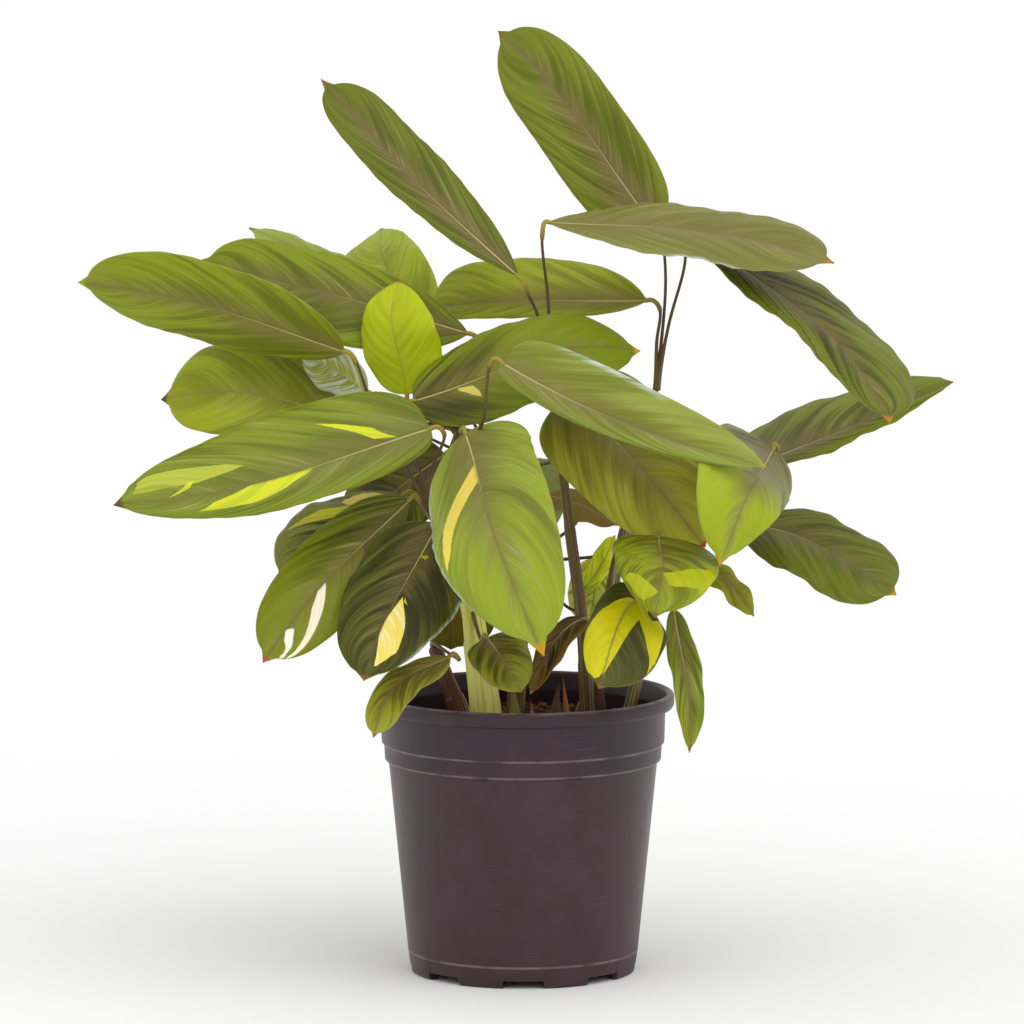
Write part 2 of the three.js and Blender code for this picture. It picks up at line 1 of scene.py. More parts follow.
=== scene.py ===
"""Looks of a potted golden mosaic calathea: patterned blades on jointed stalks, in a stepped pot."""
import math
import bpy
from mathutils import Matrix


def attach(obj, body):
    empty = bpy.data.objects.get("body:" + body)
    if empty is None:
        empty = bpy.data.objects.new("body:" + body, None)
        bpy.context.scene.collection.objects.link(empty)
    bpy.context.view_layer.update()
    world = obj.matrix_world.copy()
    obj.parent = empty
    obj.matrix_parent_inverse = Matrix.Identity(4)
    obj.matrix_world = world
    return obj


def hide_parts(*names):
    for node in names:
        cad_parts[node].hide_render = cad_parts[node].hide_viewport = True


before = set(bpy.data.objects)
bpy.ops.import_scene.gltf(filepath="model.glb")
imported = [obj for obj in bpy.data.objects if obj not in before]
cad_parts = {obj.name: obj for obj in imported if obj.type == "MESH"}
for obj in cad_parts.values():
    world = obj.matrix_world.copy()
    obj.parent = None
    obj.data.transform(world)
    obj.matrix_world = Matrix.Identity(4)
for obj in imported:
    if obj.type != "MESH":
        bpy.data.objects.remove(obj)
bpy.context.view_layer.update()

from types import SimpleNamespace

import bpy
import numpy as np

# Lengths in the tables are millimetres, as in the part's source
MM = 0.001

# Where leaf stalks leave the shoots
FORKS = {
    "tall_top": [75, 22, 326],
    "tall_mid": [66, 20, 281],
    "tall_low": [57, 18, 245],
    "centre_top": [15, 6, 339],
    "centre_mid": [22, 2, 283],
    "centre_low": [33, -4, 199],
    "thick_top": [-48, -12, 254],
    "thick_low": [-30, -30, 214],
    "left_top": [-35, -5, 306],
    "right_top": [73, -45, 227],
    "red_top": [-50, -12, 186],
    "back_top": [-13, 55, 276],
    "back_low": [0, 48, 225],
}

# The forks on each shoot
SHOOT_FORKS = {
    "shoot_tall": ["tall_top", "tall_mid", "tall_low"],
    "shoot_centre": ["centre_top", "centre_mid", "centre_low"],
    "shoot_thick": ["thick_top", "thick_low", "left_top"],
    "shoot_red": ["red_top"],
    "shoot_right": ["right_top"],
    "shoot_back": ["back_top", "back_low"],
}

# Shoots. A cane rises from its stand in the soil by the points listed, and tapers to its top fork.
# A branch leaves the cane inside it, and needs no stand.
SHOOTS = {
    "shoot_tall": {
        "cane": {
            "route": [[34, 14, 144], [43, 14, 162], [51, 16, 219], FORKS["tall_mid"], FORKS["tall_top"]],
            "radii": [4.2, 2.6],
        },
    },
    "shoot_centre": {
        "cane": {
            "route": [
                [36, -5, 144], [33, -4, 199], [27, -2, 244], FORKS["centre_mid"], FORKS["centre_top"],
            ],
            "radii": [3.8, 2.4],
        },
    },
    "shoot_thick": {
        "cane": {
            "route": [[-20, -40, 144], [-26, -36, 192], FORKS["thick_low"], FORKS["thick_top"]],
            "radii": [9, 4.5],
        },
        "branch": {"route": [[-46, -14, 248], [-43, -10, 280], FORKS["left_top"]], "radii": [3.6, 3]},
    },
    "shoot_red": {
        "cane": {"route": [[-34, -18, 144], [-42, -15, 165], FORKS["red_top"]], "radii": [6.5, 4]},
    },
    "shoot_right": {
        "cane": {
            "route": [[58, -28, 144], [64, -30, 172], [71, -36, 203], FORKS["right_top"]],
            "radii": [3.6, 2.6],
        },
    },
    "shoot_back": {
        "cane": {
            "route": [[-4, 42, 144], [-2, 44, 180], FORKS["back_low"], FORKS["back_top"]],
            "radii": [5, 3],
        },
    },
}

def blade(joint, tip, faces, width, arch, fork, **more):
    """A leaf blade's numbers: its two ends, the way it faces, its width, the rise of its arch and its
    fork."""
    return {"joint": joint, "tip": tip, "faces": faces, "width": width, "arch": arch, "fork": fork, **more}


LEAVES = {
    "leaf_crown": blade([74, 30, 417], [-14, 85, 524], [-0.31, -0.93, 0.21], 51, 9, "tall_top", lean=1.6,
        sway=6, skew=-0.06, full=3.6, belly=0.89, by=[[80, 25, 384]]),
    "leaf_flat": blade([14, -22, 424], [172, -30, 402], [0, -0.41, 0.91], 62, -1, "centre_top", lean=1.22,
        sway=-16, full=2.9, belly=1.6, knee=[3.5, 9], by=[[14, -4, 378]]),
    "leaf_shoulder": blade([98, 12, 413], [202, -60, 316], [0.61, -0.51, 0.61], 64, 7, "tall_top",
        lean=1.34, sway=-11, skew=-0.3, full=3.3, belly=1.39, by=[[82, 20, 364], [90, 17, 394]]),
    "leaf_reach_right": blade([137, 55, 282], [245, 75, 325], [-0.1, -0.4, 0.91], 55, -10, "tall_mid",
        lean=0.9, sway=-13, skew=-0.5, full=2, belly=0.6, by=[[95, 42, 283]]),
    "leaf_low_right": blade([119, 5, 249], [208, -25, 216], [0.19, -0.48, 0.86], 65, 9, "tall_low",
        lean=0.7, sway=-4, skew=0.03, full=3.8, belly=1.37, by=[[90, 14, 258]]),
    "leaf_under_right": blade([96, 45, 226], [131, 40, 195], [0.4, -0.6, 0.7], 20, 5, "tall_low", sway=-1,
        by=[[75, 34, 240]]),
    "leaf_spear": blade([-3, 2, 392], [-114, 62, 498], [0.19, -0.86, 0.48], 36, 1, "centre_top", lean=1.07,
        sway=-4, skew=0.2, full=3.4, belly=1.6, by=[[8, 4, 370]]),
    "leaf_screen": blade([69, 25, 376], [-56, 60, 368], [-0.1, -0.91, 0.4], 35, 11, "tall_top", lean=1.44,
        sway=-1, skew=0.45, full=3.8, belly=1.34, by=[[75, 22, 352]]),
    "leaf_middle": blade([-61, -28, 325], [65, -20, 352], [0, -0.71, 0.71], 60, 16, "left_top", lean=1.6,
        full=2.4, belly=0.87),
    "leaf_sliver": blade([-58, 66, 358], [-156, 86, 412], [0.1, -0.3, 0.95], 40, 4, "back_top",
        by=[[-35, 60, 325]]),
    "leaf_upper_left": blade([-31, 20, 358], [-184, 40, 397], [0, -0.87, 0.49], 53, 13, "left_top",
        lean=0.93, sway=-4, skew=-0.09, full=3.8, belly=1.49),
    "leaf_reach_left": blade([-100, -12, 351], [-248, -5, 389], [-0.21, -0.93, -0.31], 49, 18, "thick_top",
        lean=1.18, sway=15, skew=0.08, full=2.4, belly=1.17, by=[[-66, -14, 288], [-86, -12, 326]]),
    "leaf_mid_left": blade([-95, 28, 308], [-203, 16, 321], [0, -0.71, 0.71], 70, 15, "thick_top",
        lean=1.25, sway=-1, skew=0.12, full=3.1, belly=1.13, by=[[-60, 10, 284]]),
    "leaf_silver": blade([-87, 4, 327], [-125, 22, 346], [-0.1, 0.8, 0.5], 34, 3, "back_top"),
    "leaf_mosaic": blade([-51, -50, 312], [-223, -112, 277], [0, -0.87, 0.49], 57, -6, "thick_top",
        lean=1.26, sway=-5, skew=0.34, full=2, belly=0.71, by=[[-53, -32, 280]]),
    "leaf_low_left_back": blade([-67, -1, 269], [-136, -32, 226], [-0.39, -0.49, 0.78], 59, 9, "thick_top",
        lean=1.33, sway=-1, skew=0.11, full=2.6, belly=1.15, knee=[8, 3], by=[[-56, 0, 262]]),
    "leaf_low_left": blade([-63, -22, 269], [-143, -88, 187], [-0.1, -0.91, 0.4], 50, 8, "thick_top",
        lean=1.27, sway=2, full=2.9),
    "leaf_low_centre": blade([-47, -54, 260], [-87, -122, 182], [-0.29, -0.77, 0.57], 70, 5, "thick_top",
        lean=1.6, sway=1, skew=-0.06, full=2.6, belly=0.69),
    "leaf_front": blade([-32, -53, 310], [11, -161, 201], [-0.49, -0.78, 0.39], 75, 42, "left_top",
        lean=1.6, sway=-13, full=3.8),
    "leaf_front_right": blade([-12, -62, 350], [133, -98, 296], [-0.1, -0.94, 0.31], 36, 4, "left_top",
        lean=0.91, sway=7, skew=-0.42, full=2, belly=0.6, by=[[-22, -66, 318]]),
    "leaf_shade": blade([24, -6, 326], [101, -43, 245], [-0.19, -0.86, 0.48], 69, 10, "centre_mid", sway=-2,
        belly=0.66),
    "leaf_bib": blade([139, -25, 298], [107, -100, 242], [0.5, -0.7, 0.5], 57, 24, "tall_mid", lean=1.6,
        sway=10, skew=0.2, full=3, belly=0.82, by=[[100, 4, 290]]),
    "leaf_patch": blade([75, -58, 253], [71, -132, 218], [0.1, -0.6, 0.8], 58, 14, "right_top", lean=1.6,
        sway=-2, skew=-0.08, full=3.2, belly=0.78),
    "leaf_yellow": blade([68, -78, 221], [41, -126, 178], [0.2, -0.9, 0.4], 44, 10, "right_top", lean=0.7,
        sway=8, skew=-0.29, full=3.1, belly=0.88),
    "leaf_tail": blade([83, -72, 214], [91, -100, 139], [0.39, -0.87, 0.29], 19, 7, "right_top", lean=1.49,
        skew=-0.09, full=2, belly=0.91),
    "leaf_edge": blade([-41, -66, 187], [-82, -112, 149], [0.1, -0.6, 0.8], 21, 6, "red_top", lean=1.16,
        sway=9, skew=-0.17, full=3.5, belly=1.24, by=[[-50, -32, 190]]),
    "leaf_close": blade([-20, -62, 197], [-1, -92, 171], [0, -0.87, 0.49], 32, 5, "thick_low", full=2.6,
        belly=0.7),
    "leaf_old": blade([34, -22, 202], [4, -58, 165], [-0.21, -0.74, 0.64], 17, 7, "centre_low", lean=0.8,
        sway=3, skew=-0.08, full=2.1, belly=0.77),
    "leaf_narrow": blade([34, 26, 212], [52, 34, 242], [0.5, -0.8, 0.1], 14, 3, "back_low"),
    "leaf_pale": blade([44, 56, 226], [38, 78, 185], [0, -0.9, 0.3], 30, 3, "back_low"),
    "leaf_brown": blade([14, 30, 266], [54, 48, 246], [0, 0.6, 0.8], 28, 3, "back_low"),
    "leaf_new": blade([-65, -2, 326], [-69, 9, 389], [-0.28, -0.94, 0.2], 45, 13, "thick_top", lean=1.58,
        sway=-2, skew=0.12, full=2, belly=0.86, by=[[-58, -10, 285]]),
    "leaf_back_left": blade([-57, 80, 360], [-82, 165, 405], [-0.41, -0.41, 0.82], 56, 9, "back_top",
        lean=1.04, sway=-6, skew=-0.2, full=2, belly=0.81),
    "leaf_behind_low": blade([-38, 30, 229], [-41, 55, 174], [0, -0.8, 0.4], 50, 6, "back_low"),
    "leaf_dark_left": blade([-44, 34, 288], [-100, 54, 237], [-0.1, -0.8, 0.5], 54, 6, "back_top"),
    "leaf_rear_left": blade([-44, 82, 302], [-124, 160, 276], [-0.2, 0.6, 0.8], 60, 16, "back_top"),
    "leaf_rear_right": blade([26, 80, 288], [112, 152, 272], [0.2, 0.6, 0.8], 58, 14, "back_top"),
    "leaf_rear_centre": blade([-10, 82, 280], [-4, 178, 213], [0, 0.7, 0.7], 66, 18, "back_top"),
    "leaf_rear_low": blade([34, 62, 252], [98, 136, 232], [0.2, 0.6, 0.8], 50, 12, "back_low"),
    "leaf_rear_side": blade([-36, 64, 240], [-100, 122, 208], [-0.3, 0.6, 0.8], 52, 14, "back_low"),
}

# Small growths in the soil. A finish is its name and the colours of the foot, the upper part and the tip
GROWTHS = {
    "sheath_green": {
        "stand": [-4, -46], "lean": [-2, 2], "height": 33, "radius": 4.4, "slot": "stem",
        "finish": ("green sheath", (120, 92, 60), (122, 116, 50), (110, 84, 50)),
    },
    "sheath_brown": {
        "stand": [17, -36], "lean": [3, 3], "height": 31, "radius": 4.2, "slot": "husk",
        "finish": ("brown sheath", (70, 46, 34), (96, 66, 46), (60, 40, 28)),
    },
    "sheath_tall": {
        "stand": [44, -14], "lean": [-4, 2], "height": 45, "radius": 3.2, "slot": "husk",
        "finish": ("tall sheath", (74, 50, 36), (86, 60, 40), (60, 40, 28)),
    },
    "bud_pink": {
        "stand": [6, -48], "lean": [-2, -5], "height": 23, "radius": 3, "slot": "bud",
        "finish": ("pink bud", (196, 140, 120), (186, 116, 112), (120, 70, 60)),
    },
    "bract_dry": {
        "stand": [25, -20], "lean": [-3, 2], "height": 33, "radius": 2, "slot": "husk",
        "finish": ("dry bract", (150, 96, 52), (176, 120, 66), (110, 70, 40)),
    },
}

# Blade outlines: how full and blunt the oblong is, the tail's share, widths at the ends, and depths
FULLNESS = 2.7
BLUNT = 0.96
TAIL_SHARE = 0.17
BASE_WIDTH = 2.2
END_WIDTH = 0.5
BLADE_THICKNESS = 0.6
KEEL_DEPTH = 0.7
VEIN_SPACING = 16
EXTRA_VEINS = 4
BLADE_ROWS = 81
BLADE_COLUMNS = 35

# Stems: where the swollen joint begins, measured back from the blade, its radius and that of the stalk
JOINT_START = 15.5
JOINT_FULL = 12.5
JOINT_RADIUS = 1.4
STALK_RADIUS = 0.78
STALK_SIDES = 12
BRANCH_SIDES = 24
BRANCH_ROWS = 40
CANE_SIDES = 32
CANE_ROWS = 90

# Soil and pot
SOIL_LEVEL = 139
SOIL_RADIUS = 77.6
ROOT_DEPTH = 22
NOTCHES = 8
NOTCH_HALF = 11
NOTCH_HEIGHT = 4.4
FOOT_RADIUS = 62.4
FLOOR_LOW = 5
FLOOR_TOP = 7.2
LUMPS = 170
CHIPS = 260
POT_SEED = 11

# Camera and light, in metres and degrees. A light is its name, power, spread, bearing and rise
CAMERA_DISTANCE = 4.0
CAMERA_DOWN = 7
SENSOR = 36
PHOTO_PIXELS = 1024
PIXEL = 0.00056
AIM = (-0.0062, 0, 0.2595)
SKY = 0.8
LIGHTS = [("key light", 1.1, 70, 35, 50), ("fill light", 0.35, 80, -50, 30)]


def unit(vectors):
    """Each vector over its own length."""
    vectors = np.asarray(vectors, float)
    return vectors / np.linalg.norm(vectors, axis=-1, keepdims=True)


def smooth(values, low, high):
    """Rises from 0 at low to 1 at high as 3t^2 - 2t^3."""
    t = np.clip((values - low) / (high - low), 0, 1)
    return t * t * (3 - 2 * t)


def ribbon(count, rows, columns, flip=False, wrap=False):
    """Corners of the four-sided faces between neighbours on a grid of points, rows by columns. The grid's
    first point has the number count."""
    grid = count + np.arange(rows * columns).reshape(rows, columns)
    if wrap:
        grid = np.concatenate([grid, grid[:, :1]], axis=1)
    faces = np.stack([grid[:-1, :-1], grid[1:, :-1], grid[1:, 1:], grid[:-1, 1:]], axis=-1)
    faces = faces.reshape(-1, 4)
    return faces[:, ::-1] if flip else faces


def make_piece(name, parts, finish, node, sharp=None):
    """One mesh from closed parts, each with points, faces of three or four corners, and marks on its
    points. It rides on the root body and stands for the node."""
    starts = np.cumsum([0] + [len(part["points"]) for part in parts])
    points = np.concatenate([part["points"] for part in parts]) * MM
    faces = [group + start for part, start in zip(parts, starts) for group in part["faces"]]
    sizes = np.concatenate([np.full(len(group), group.shape[1]) for group in faces])
    corners = np.concatenate([group.ravel() for group in faces]).astype(np.int32)
    mesh = bpy.data.meshes.new(name)
    mesh.vertices.add(len(points))
    mesh.vertices.foreach_set("co", points.astype(np.float32).ravel())
    mesh.loops.add(len(corners))
    mesh.loops.foreach_set("vertex_index", corners)
    mesh.polygons.add(len(sizes))
    mesh.polygons.foreach_set("loop_start", (np.cumsum(sizes) - sizes).astype(np.int32))
    mesh.update(calc_edges=True)
    mesh.polygons.foreach_set("use_smooth", np.ones(len(sizes), bool))
    for key in parts[0]["marks"]:
        values = np.concatenate([part["marks"][key] for part in parts]).astype(np.float32)
        mesh.attributes.new(key, "FLOAT_VECTOR", "POINT").data.foreach_set("vector", values.ravel())
    if "chart" in parts[0]:
        chart = np.concatenate([part["chart"] for part in parts]).astype(np.float32)
        mesh.uv_layers.new(name="OFBake").data.foreach_set("uv", chart.ravel())
    if sharp:
        mesh.set_sharp_from_angle(angle=math.radians(sharp))
    mesh.materials.append(finish.material)
    piece = bpy.data.objects.new(name, mesh)
    bpy.context.scene.collection.objects.link(piece)
    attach(piece, "root")
    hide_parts(node)


def half_width(leaf, u):
    """Half the blade's width at u: an oblong whose share is the root of 1 - |2 run - 1|^full, with run the
    share of the blunt part to the power belly, joined by a fourth-power mean with a thin straight tail."""
    run = np.minimum(1, u / BLUNT) ** leaf.get("belly", 1)
    oblong = np.sqrt(np.maximum(0, 1 - np.abs(2 * run - 1) ** leaf.get("full", FULLNESS)))
    tail = TAIL_SHARE * np.clip((1 - u) / (1 - BLUNT), 0, 1.6) * smooth(u, 0.85, 0.96)
    least = np.where(u > 0.5, END_WIDTH, BASE_WIDTH) / leaf["width"]
    return leaf["width"] / 2 * (oblong ** 4 + tail ** 4 + least ** 4) ** 0.25


def blade_frame(leaf, u):
    """Middle line, tangent, normal and side of a blade at u. The line runs straight from the joint to
    the tip, lifted along its up direction by arch, and pushed to its side by sway, times the sine of pi
    u^lean."""
    joint, tip = np.array(leaf["joint"], float), np.array(leaf["tip"], float)
    length = np.linalg.norm(tip - joint)
    along = (tip - joint) / length
    up = unit(np.array(leaf["faces"]) - along * np.dot(along, leaf["faces"]))
    side = np.cross(along, up)
    lean = leaf.get("lean", 1)
    u = np.asarray(u, float)[:, None]
    bow = np.sin(np.pi * u ** lean)
    slope = np.pi * lean * np.maximum(u, 1e-3) ** (lean - 1) * np.cos(np.pi * u ** lean)
    push = up * leaf["arch"] + side * leaf.get("sway", 0)
    middle = joint + along * length * u + push * bow
    tangent = unit(along * length + push * slope)
    normal = unit(up - tangent * (tangent @ up)[:, None])
    return middle, tangent, normal, np.cross(tangent, normal)


def blade_part(leaf, seed):
    """A blade as two sheets of points (u, v) joined round their edge. A point lies half v (1 + skew v) from
    the midrib, so one side may be wider than the other. A sheet rises away from the midrib by
    half (0.16 |v| - 0.2 v^2), waves at the margin by 1.2 v^2 sin(5 pi u) sin(pi u), ripples finely at the
    edge, and swells between its side veins, which lie where s = u - 0.2 (|v| + v^2) passes equal steps.
    The lower sheet lies one thickness below and carries the midrib's keel."""
    t = np.linspace(0, 1, BLADE_ROWS)
    u = 0.45 * t + 0.55 * (0.5 - 0.5 * np.cos(np.pi * t))
    x = np.linspace(-1, 1, BLADE_COLUMNS)
    v = x * (0.8 + 0.2 * x * x)
    middle, _, normal, side = blade_frame(leaf, u)
    half = half_width(leaf, u)[:, None]
    u, v = u[:, None], v[None, :]
    w = np.abs(v)
    s = u - 0.2 * (w + w * w)
    across = half * v * (1 + leaf.get("skew", 0) * v)
    length = np.linalg.norm(np.subtract(leaf["tip"], leaf["joint"]))
    rng = np.random.default_rng(seed)
    phase = rng.uniform(0, 6.28, 4)
    dish = half * (0.16 * np.sqrt(w * w + 0.0004) - 0.2 * w * w)
    wave = 1.2 * w * w * np.sin(5 * np.pi * u + np.where(v > 0, 0, 2)) * np.sin(np.pi * u)
    curl = 0.45 * w ** 5 * np.sin(length * u * 0.42 + phase[0] + np.sign(v) * phase[1]) * np.sin(np.pi * u)
    swell = np.cos(2 * np.pi * s * side_veins(leaf) + 0.5 * np.sin(9 * s + phase[2]))
    fade = smooth(w, 0.04, 0.3) * (1 - smooth(w, 0.8, 1)) * smooth(u, 0, 0.12) * (1 - smooth(u, 0.86, 0.98))
    swell = -0.012 * np.minimum(half, 30) * swell * fade
    channel = -0.35 * np.exp(-(w * half / 1.1) ** 2) * (1 - u)
    height = dish + wave + curl + swell
    thin = BLADE_THICKNESS / 2 * (1 - 0.6 * smooth(w, 0.85, 1))
    keel = KEEL_DEPTH * np.exp(-(w * half) ** 2) * (1 - 0.8 * u)
    sheets = []
    for rise in (height + channel + thin, height - thin - keel):
        sheet = middle[:, None] + side[:, None] * across[..., None] + normal[:, None] * rise[..., None]
        sheets.append(sheet.reshape(-1, 3))
    rows, columns = u.size, v.size
    total = rows * columns
    top = np.arange(total).reshape(rows, columns)
    low = top + total
    faces = [
        ribbon(0, rows, columns, flip=True),
        ribbon(total, rows, columns),
        np.stack([top[:-1, 0], top[1:, 0], low[1:, 0], low[:-1, 0]], axis=-1),
        np.stack([top[:-1, -1], low[:-1, -1], low[1:, -1], top[1:, -1]], axis=-1),
        np.stack([top[0, :-1], low[0, :-1], low[0, 1:], top[0, 1:]], axis=-1),
        np.stack([top[-1, :-1], top[-1, 1:], low[-1, 1:], low[-1, :-1]], axis=-1),
    ]
    flat_u = np.broadcast_to(u, top.shape)
    flat_v = np.broadcast_to(v, top.shape)
    flat_half = np.broadcast_to(half, top.shape)
    upper = np.stack([flat_u, flat_v, np.zeros(top.shape)], axis=-1).reshape(-1, 3)
    lower = upper + [0, 0, 1]
    vein = np.stack([s, np.abs(flat_v), flat_half], axis=-1).reshape(-1, 3)
    marks = {"blade": np.concatenate([upper, lower]), "vein": np.concatenate([vein, vein])}
    chart = blade_chart(faces, upper)
    return {"points": np.concatenate(sheets), "faces": faces, "marks": marks, "chart": chart}


def blade_chart(faces, upper):
    """Flat map of a blade: the upper sheet fills the lower half of the square, the lower sheet the
    upper half, and the edge strips lie in the gaps between."""
    flat = np.stack([0.01 + 0.98 * upper[:, 0], 0.25 + 0.235 * upper[:, 1]], axis=-1)
    place = np.concatenate([flat, flat + [0, 0.5]])
    total = len(flat)
    chart = [place[faces[0]], place[faces[1]]]
    gaps = [[0, -0.006], [0, 0.006], [-0.006, 0], [0.006, 0]]
    for strip, gap in zip(faces[2:], gaps):
        corners = place[strip % total]
        chart.append(corners + np.where((strip >= total)[..., None], gap, [0, 0]))
    return np.concatenate([part.reshape(-1, 2) for part in chart])


def side_veins(leaf):
    """How many side veins a blade has on each side: one for each spacing along its length, and a few
    more."""
    return EXTRA_VEINS + np.linalg.norm(np.subtract(leaf["tip"], leaf["joint"])) / VEIN_SPACING


def curve(route, shares):
    """Points and directions at shares of the length of a smooth curve through the route. Each step
    between two points is a cubic whose slopes at the points weigh both steps there by the roots of
    their lengths."""
    route = np.array(route, float)
    points = np.concatenate([2 * route[:1] - route[1:2], route, 2 * route[-1:] - route[-2:-1]])
    gaps = np.maximum(np.linalg.norm(np.diff(points, axis=0), axis=1), 1e-6) ** 0.5
    d0, d1, d2 = (gaps[i:len(gaps) - 2 + i, None] for i in range(3))
    p0, p1, p2, p3 = (points[i:len(points) - 3 + i] for i in range(4))
    start = ((p1 - p0) / d0 - (p2 - p0) / (d0 + d1) + (p2 - p1) / d1) * d1
    end = ((p2 - p1) / d1 - (p3 - p1) / (d1 + d2) + (p3 - p2) / d2) * d1
    t = np.linspace(0, 1, 200, endpoint=False)[None, :, None]
    a, b, c, d = (item[:, None] for item in (p1, start, -3 * p1 + 3 * p2 - 2 * start - end,
                                             2 * p1 - 2 * p2 + start + end))
    fine = (a + b * t + c * t ** 2 + d * t ** 3).reshape(-1, 3)
    fine = np.concatenate([fine, route[-1:]])
    run = np.concatenate([[0], np.cumsum(np.linalg.norm(np.diff(fine, axis=0), axis=1))])
    slope = unit(np.gradient(fine, run + np.arange(len(run)) * 1e-9, axis=0))
    wanted = np.asarray(shares) * run[-1]
    at = np.stack([np.interp(wanted, run, fine[:, i]) for i in range(3)], axis=-1)
    direction = unit(np.stack([np.interp(wanted, run, slope[:, i]) for i in range(3)], axis=-1))
    return at, direction, run[-1]


def tube_part(route, shares, radii, sides, part=0.0, flute=None):
    """A closed tube: rings of points round a smooth curve, each at its share of the length with its own
    radius, times flute(share, angle) where given, and a point at the middle of each end. Rings are
    turned to the direction that the curve runs along least."""
    shares = np.asarray(shares, float)
    centre, tangent, length = curve(route, shares)
    reference = np.linalg.svd(tangent, full_matrices=True)[2][2]
    across = unit(reference - tangent * (tangent @ reference)[:, None])
    binormal = np.cross(tangent, across)
    angle = np.arange(sides) * 2 * np.pi / sides
    reach = np.broadcast_to(np.asarray(radii, float)[:, None], (len(shares), sides))
    if flute is not None:
        reach = reach * flute(shares[:, None], angle[None, :])
    rings = (centre[:, None] + across[:, None] * (reach * np.cos(angle))[..., None]
             + binormal[:, None] * (reach * np.sin(angle))[..., None])
    rows = len(shares)
    points = np.concatenate([rings.reshape(-1, 3), centre[:1], centre[-1:]])
    first = np.arange(sides)
    following = np.roll(first, -1)
    last = first + (rows - 1) * sides
    faces = [
        ribbon(0, rows, sides, flip=True, wrap=True),
        np.stack([following, first, np.full(sides, rows * sides)], axis=-1),
        np.stack([last, following + (rows - 1) * sides, np.full(sides, rows * sides + 1)], axis=-1),
    ]
    run = np.broadcast_to((shares * length)[:, None], (rows, sides))
    turn = np.broadcast_to(np.abs(angle / np.pi - 1)[None], (rows, sides))
    stem = np.stack([run, turn, np.full((rows, sides), part)], axis=-1).reshape(-1, 3)
    stem = np.concatenate([stem, stem[:1], stem[-1:]])
    left = stem.copy()
    left[:, 0] = length - left[:, 0]
    left[:, 1] = stem[:, 0] / length
    return {"points": points, "faces": faces, "marks": {"stem": stem, "left": left}}


def stalk_part(leaf, seed):
    """A leaf stalk: a tube from its fork to the blade, wide where it clasps the cane, thin along its
    run, and swollen over its last 14 mm into the joint that carries the blade. A shallow groove runs
    along it."""
    _, tangent, normal, _ = blade_frame(leaf, [0.0])
    joint = np.array(leaf["joint"], float)
    back, down = leaf.get("knee", (8, 5))
    elbow = joint - tangent[0] * back - np.array([0, 0, down])
    collar = joint - tangent[0] * back / 2
    end = joint + tangent[0] * 2.5 - normal[0] * 0.5
    route = [FORKS[leaf["fork"]], *leaf.get("by", []), elbow, collar, end]
    length = curve(route, [0, 1])[2]
    left = np.concatenate([np.linspace(length, 18, 30), np.linspace(16.5, 0, 16)])
    shares = 1 - left / length
    run = length - left
    thin = STALK_RADIUS + 0.3 * np.exp(-run / 40) + 1.3 * np.exp(-run / 9)
    swell = smooth(left, JOINT_START, JOINT_FULL) * (0.95 + 0.08 * np.sin(left * 2.1))
    radii = thin + (JOINT_RADIUS - thin) * swell
    radii = np.where(left < 3, 0.8 + 0.6 * np.sqrt(np.clip(left / 3, 0, 1)), radii)
    groove = lambda share, angle: 1 - 0.1 * np.exp(-((angle - np.pi) / 0.5) ** 2)
    return tube_part(route, shares, radii, STALK_SIDES, part=seed % 1, flute=groove)


def cane_part(cane, sheaths):
    """A cane: a tube that starts in the soil and tapers to its top, wrapped by old leaf sheaths, so its
    radius grows by a step below each sheath's lip, and its round is fluted by 3 per cent."""
    route = np.array(cane["route"], float)
    foot = route[0] - [0, 0, ROOT_DEPTH + 3]
    route = np.concatenate([[foot], route])
    low, high = cane["radii"]
    shares = np.linspace(0, 1, CANE_ROWS)
    radii = low + (high - low) * smooth(shares, 0.05, 1) ** 0.8
    for lip in sheaths:
        step = smooth(shares, lip + 0.012, lip) * np.exp(-(lip - shares).clip(0) / 0.25)
        radii = radii * (1 + 0.12 * step)
    radii[-4:] *= [0.97, 0.88, 0.68, 0.35]
    flute = lambda share, angle: 1 + 0.03 * np.cos(9 * angle + 4 * share) + 0.02 * np.cos(23 * angle + 1)
    return tube_part(route, shares, radii, CANE_SIDES, flute=flute)


def growth_part(growth):
    """A small pointed sheath: a tube, straight in the soil and leaning above it, whose radius swells a
    little and closes to a point, folded along one side."""
    x, y = growth["stand"]
    dx, dy = growth["lean"]
    top = SOIL_LEVEL + growth["height"]
    route = [[x, y, SOIL_LEVEL - ROOT_DEPTH + 1], [x, y, SOIL_LEVEL], [x + dx, y + dy, top]]
    shares = np.linspace(0, 1, 48)
    point = (1 - smooth(shares, 0.45, 1.02)) ** 0.8
    radii = growth["radius"] * np.maximum(0.04, point * (0.96 + 0.06 * np.sin(shares * 14)))
    flute = lambda share, angle: (1 + 0.05 * np.cos(7 * angle) - 0.2 * smooth(share, 0.4, 1)
                                  * np.exp(-((angle - 3.6) / 0.4) ** 2))
    return tube_part(route, shares, radii, 24, flute=flute)


def rounded(outline, radius, steps):
    """An outline with each corner replaced by a quadratic curve that leaves its edges one radius from the
    corner, or at 45 per cent of a shorter edge. Its first and last points stay."""
    outline = np.array(outline, float)
    before, corner, after = outline[:-2], outline[1:-1], outline[2:]
    cut = lambda edge: edge * np.minimum(radius / np.linalg.norm(edge, axis=1), 0.45)[:, None]
    enter, leave = corner + cut(before - corner), corner + cut(after - corner)
    t = np.linspace(0, 1, steps)[None, :, None]
    arcs = enter[:, None] * (1 - t) ** 2 + corner[:, None] * 2 * t * (1 - t) + leave[:, None] * t ** 2
    return np.concatenate([outline[:1], arcs.reshape(-1, 2), outline[-1:]])


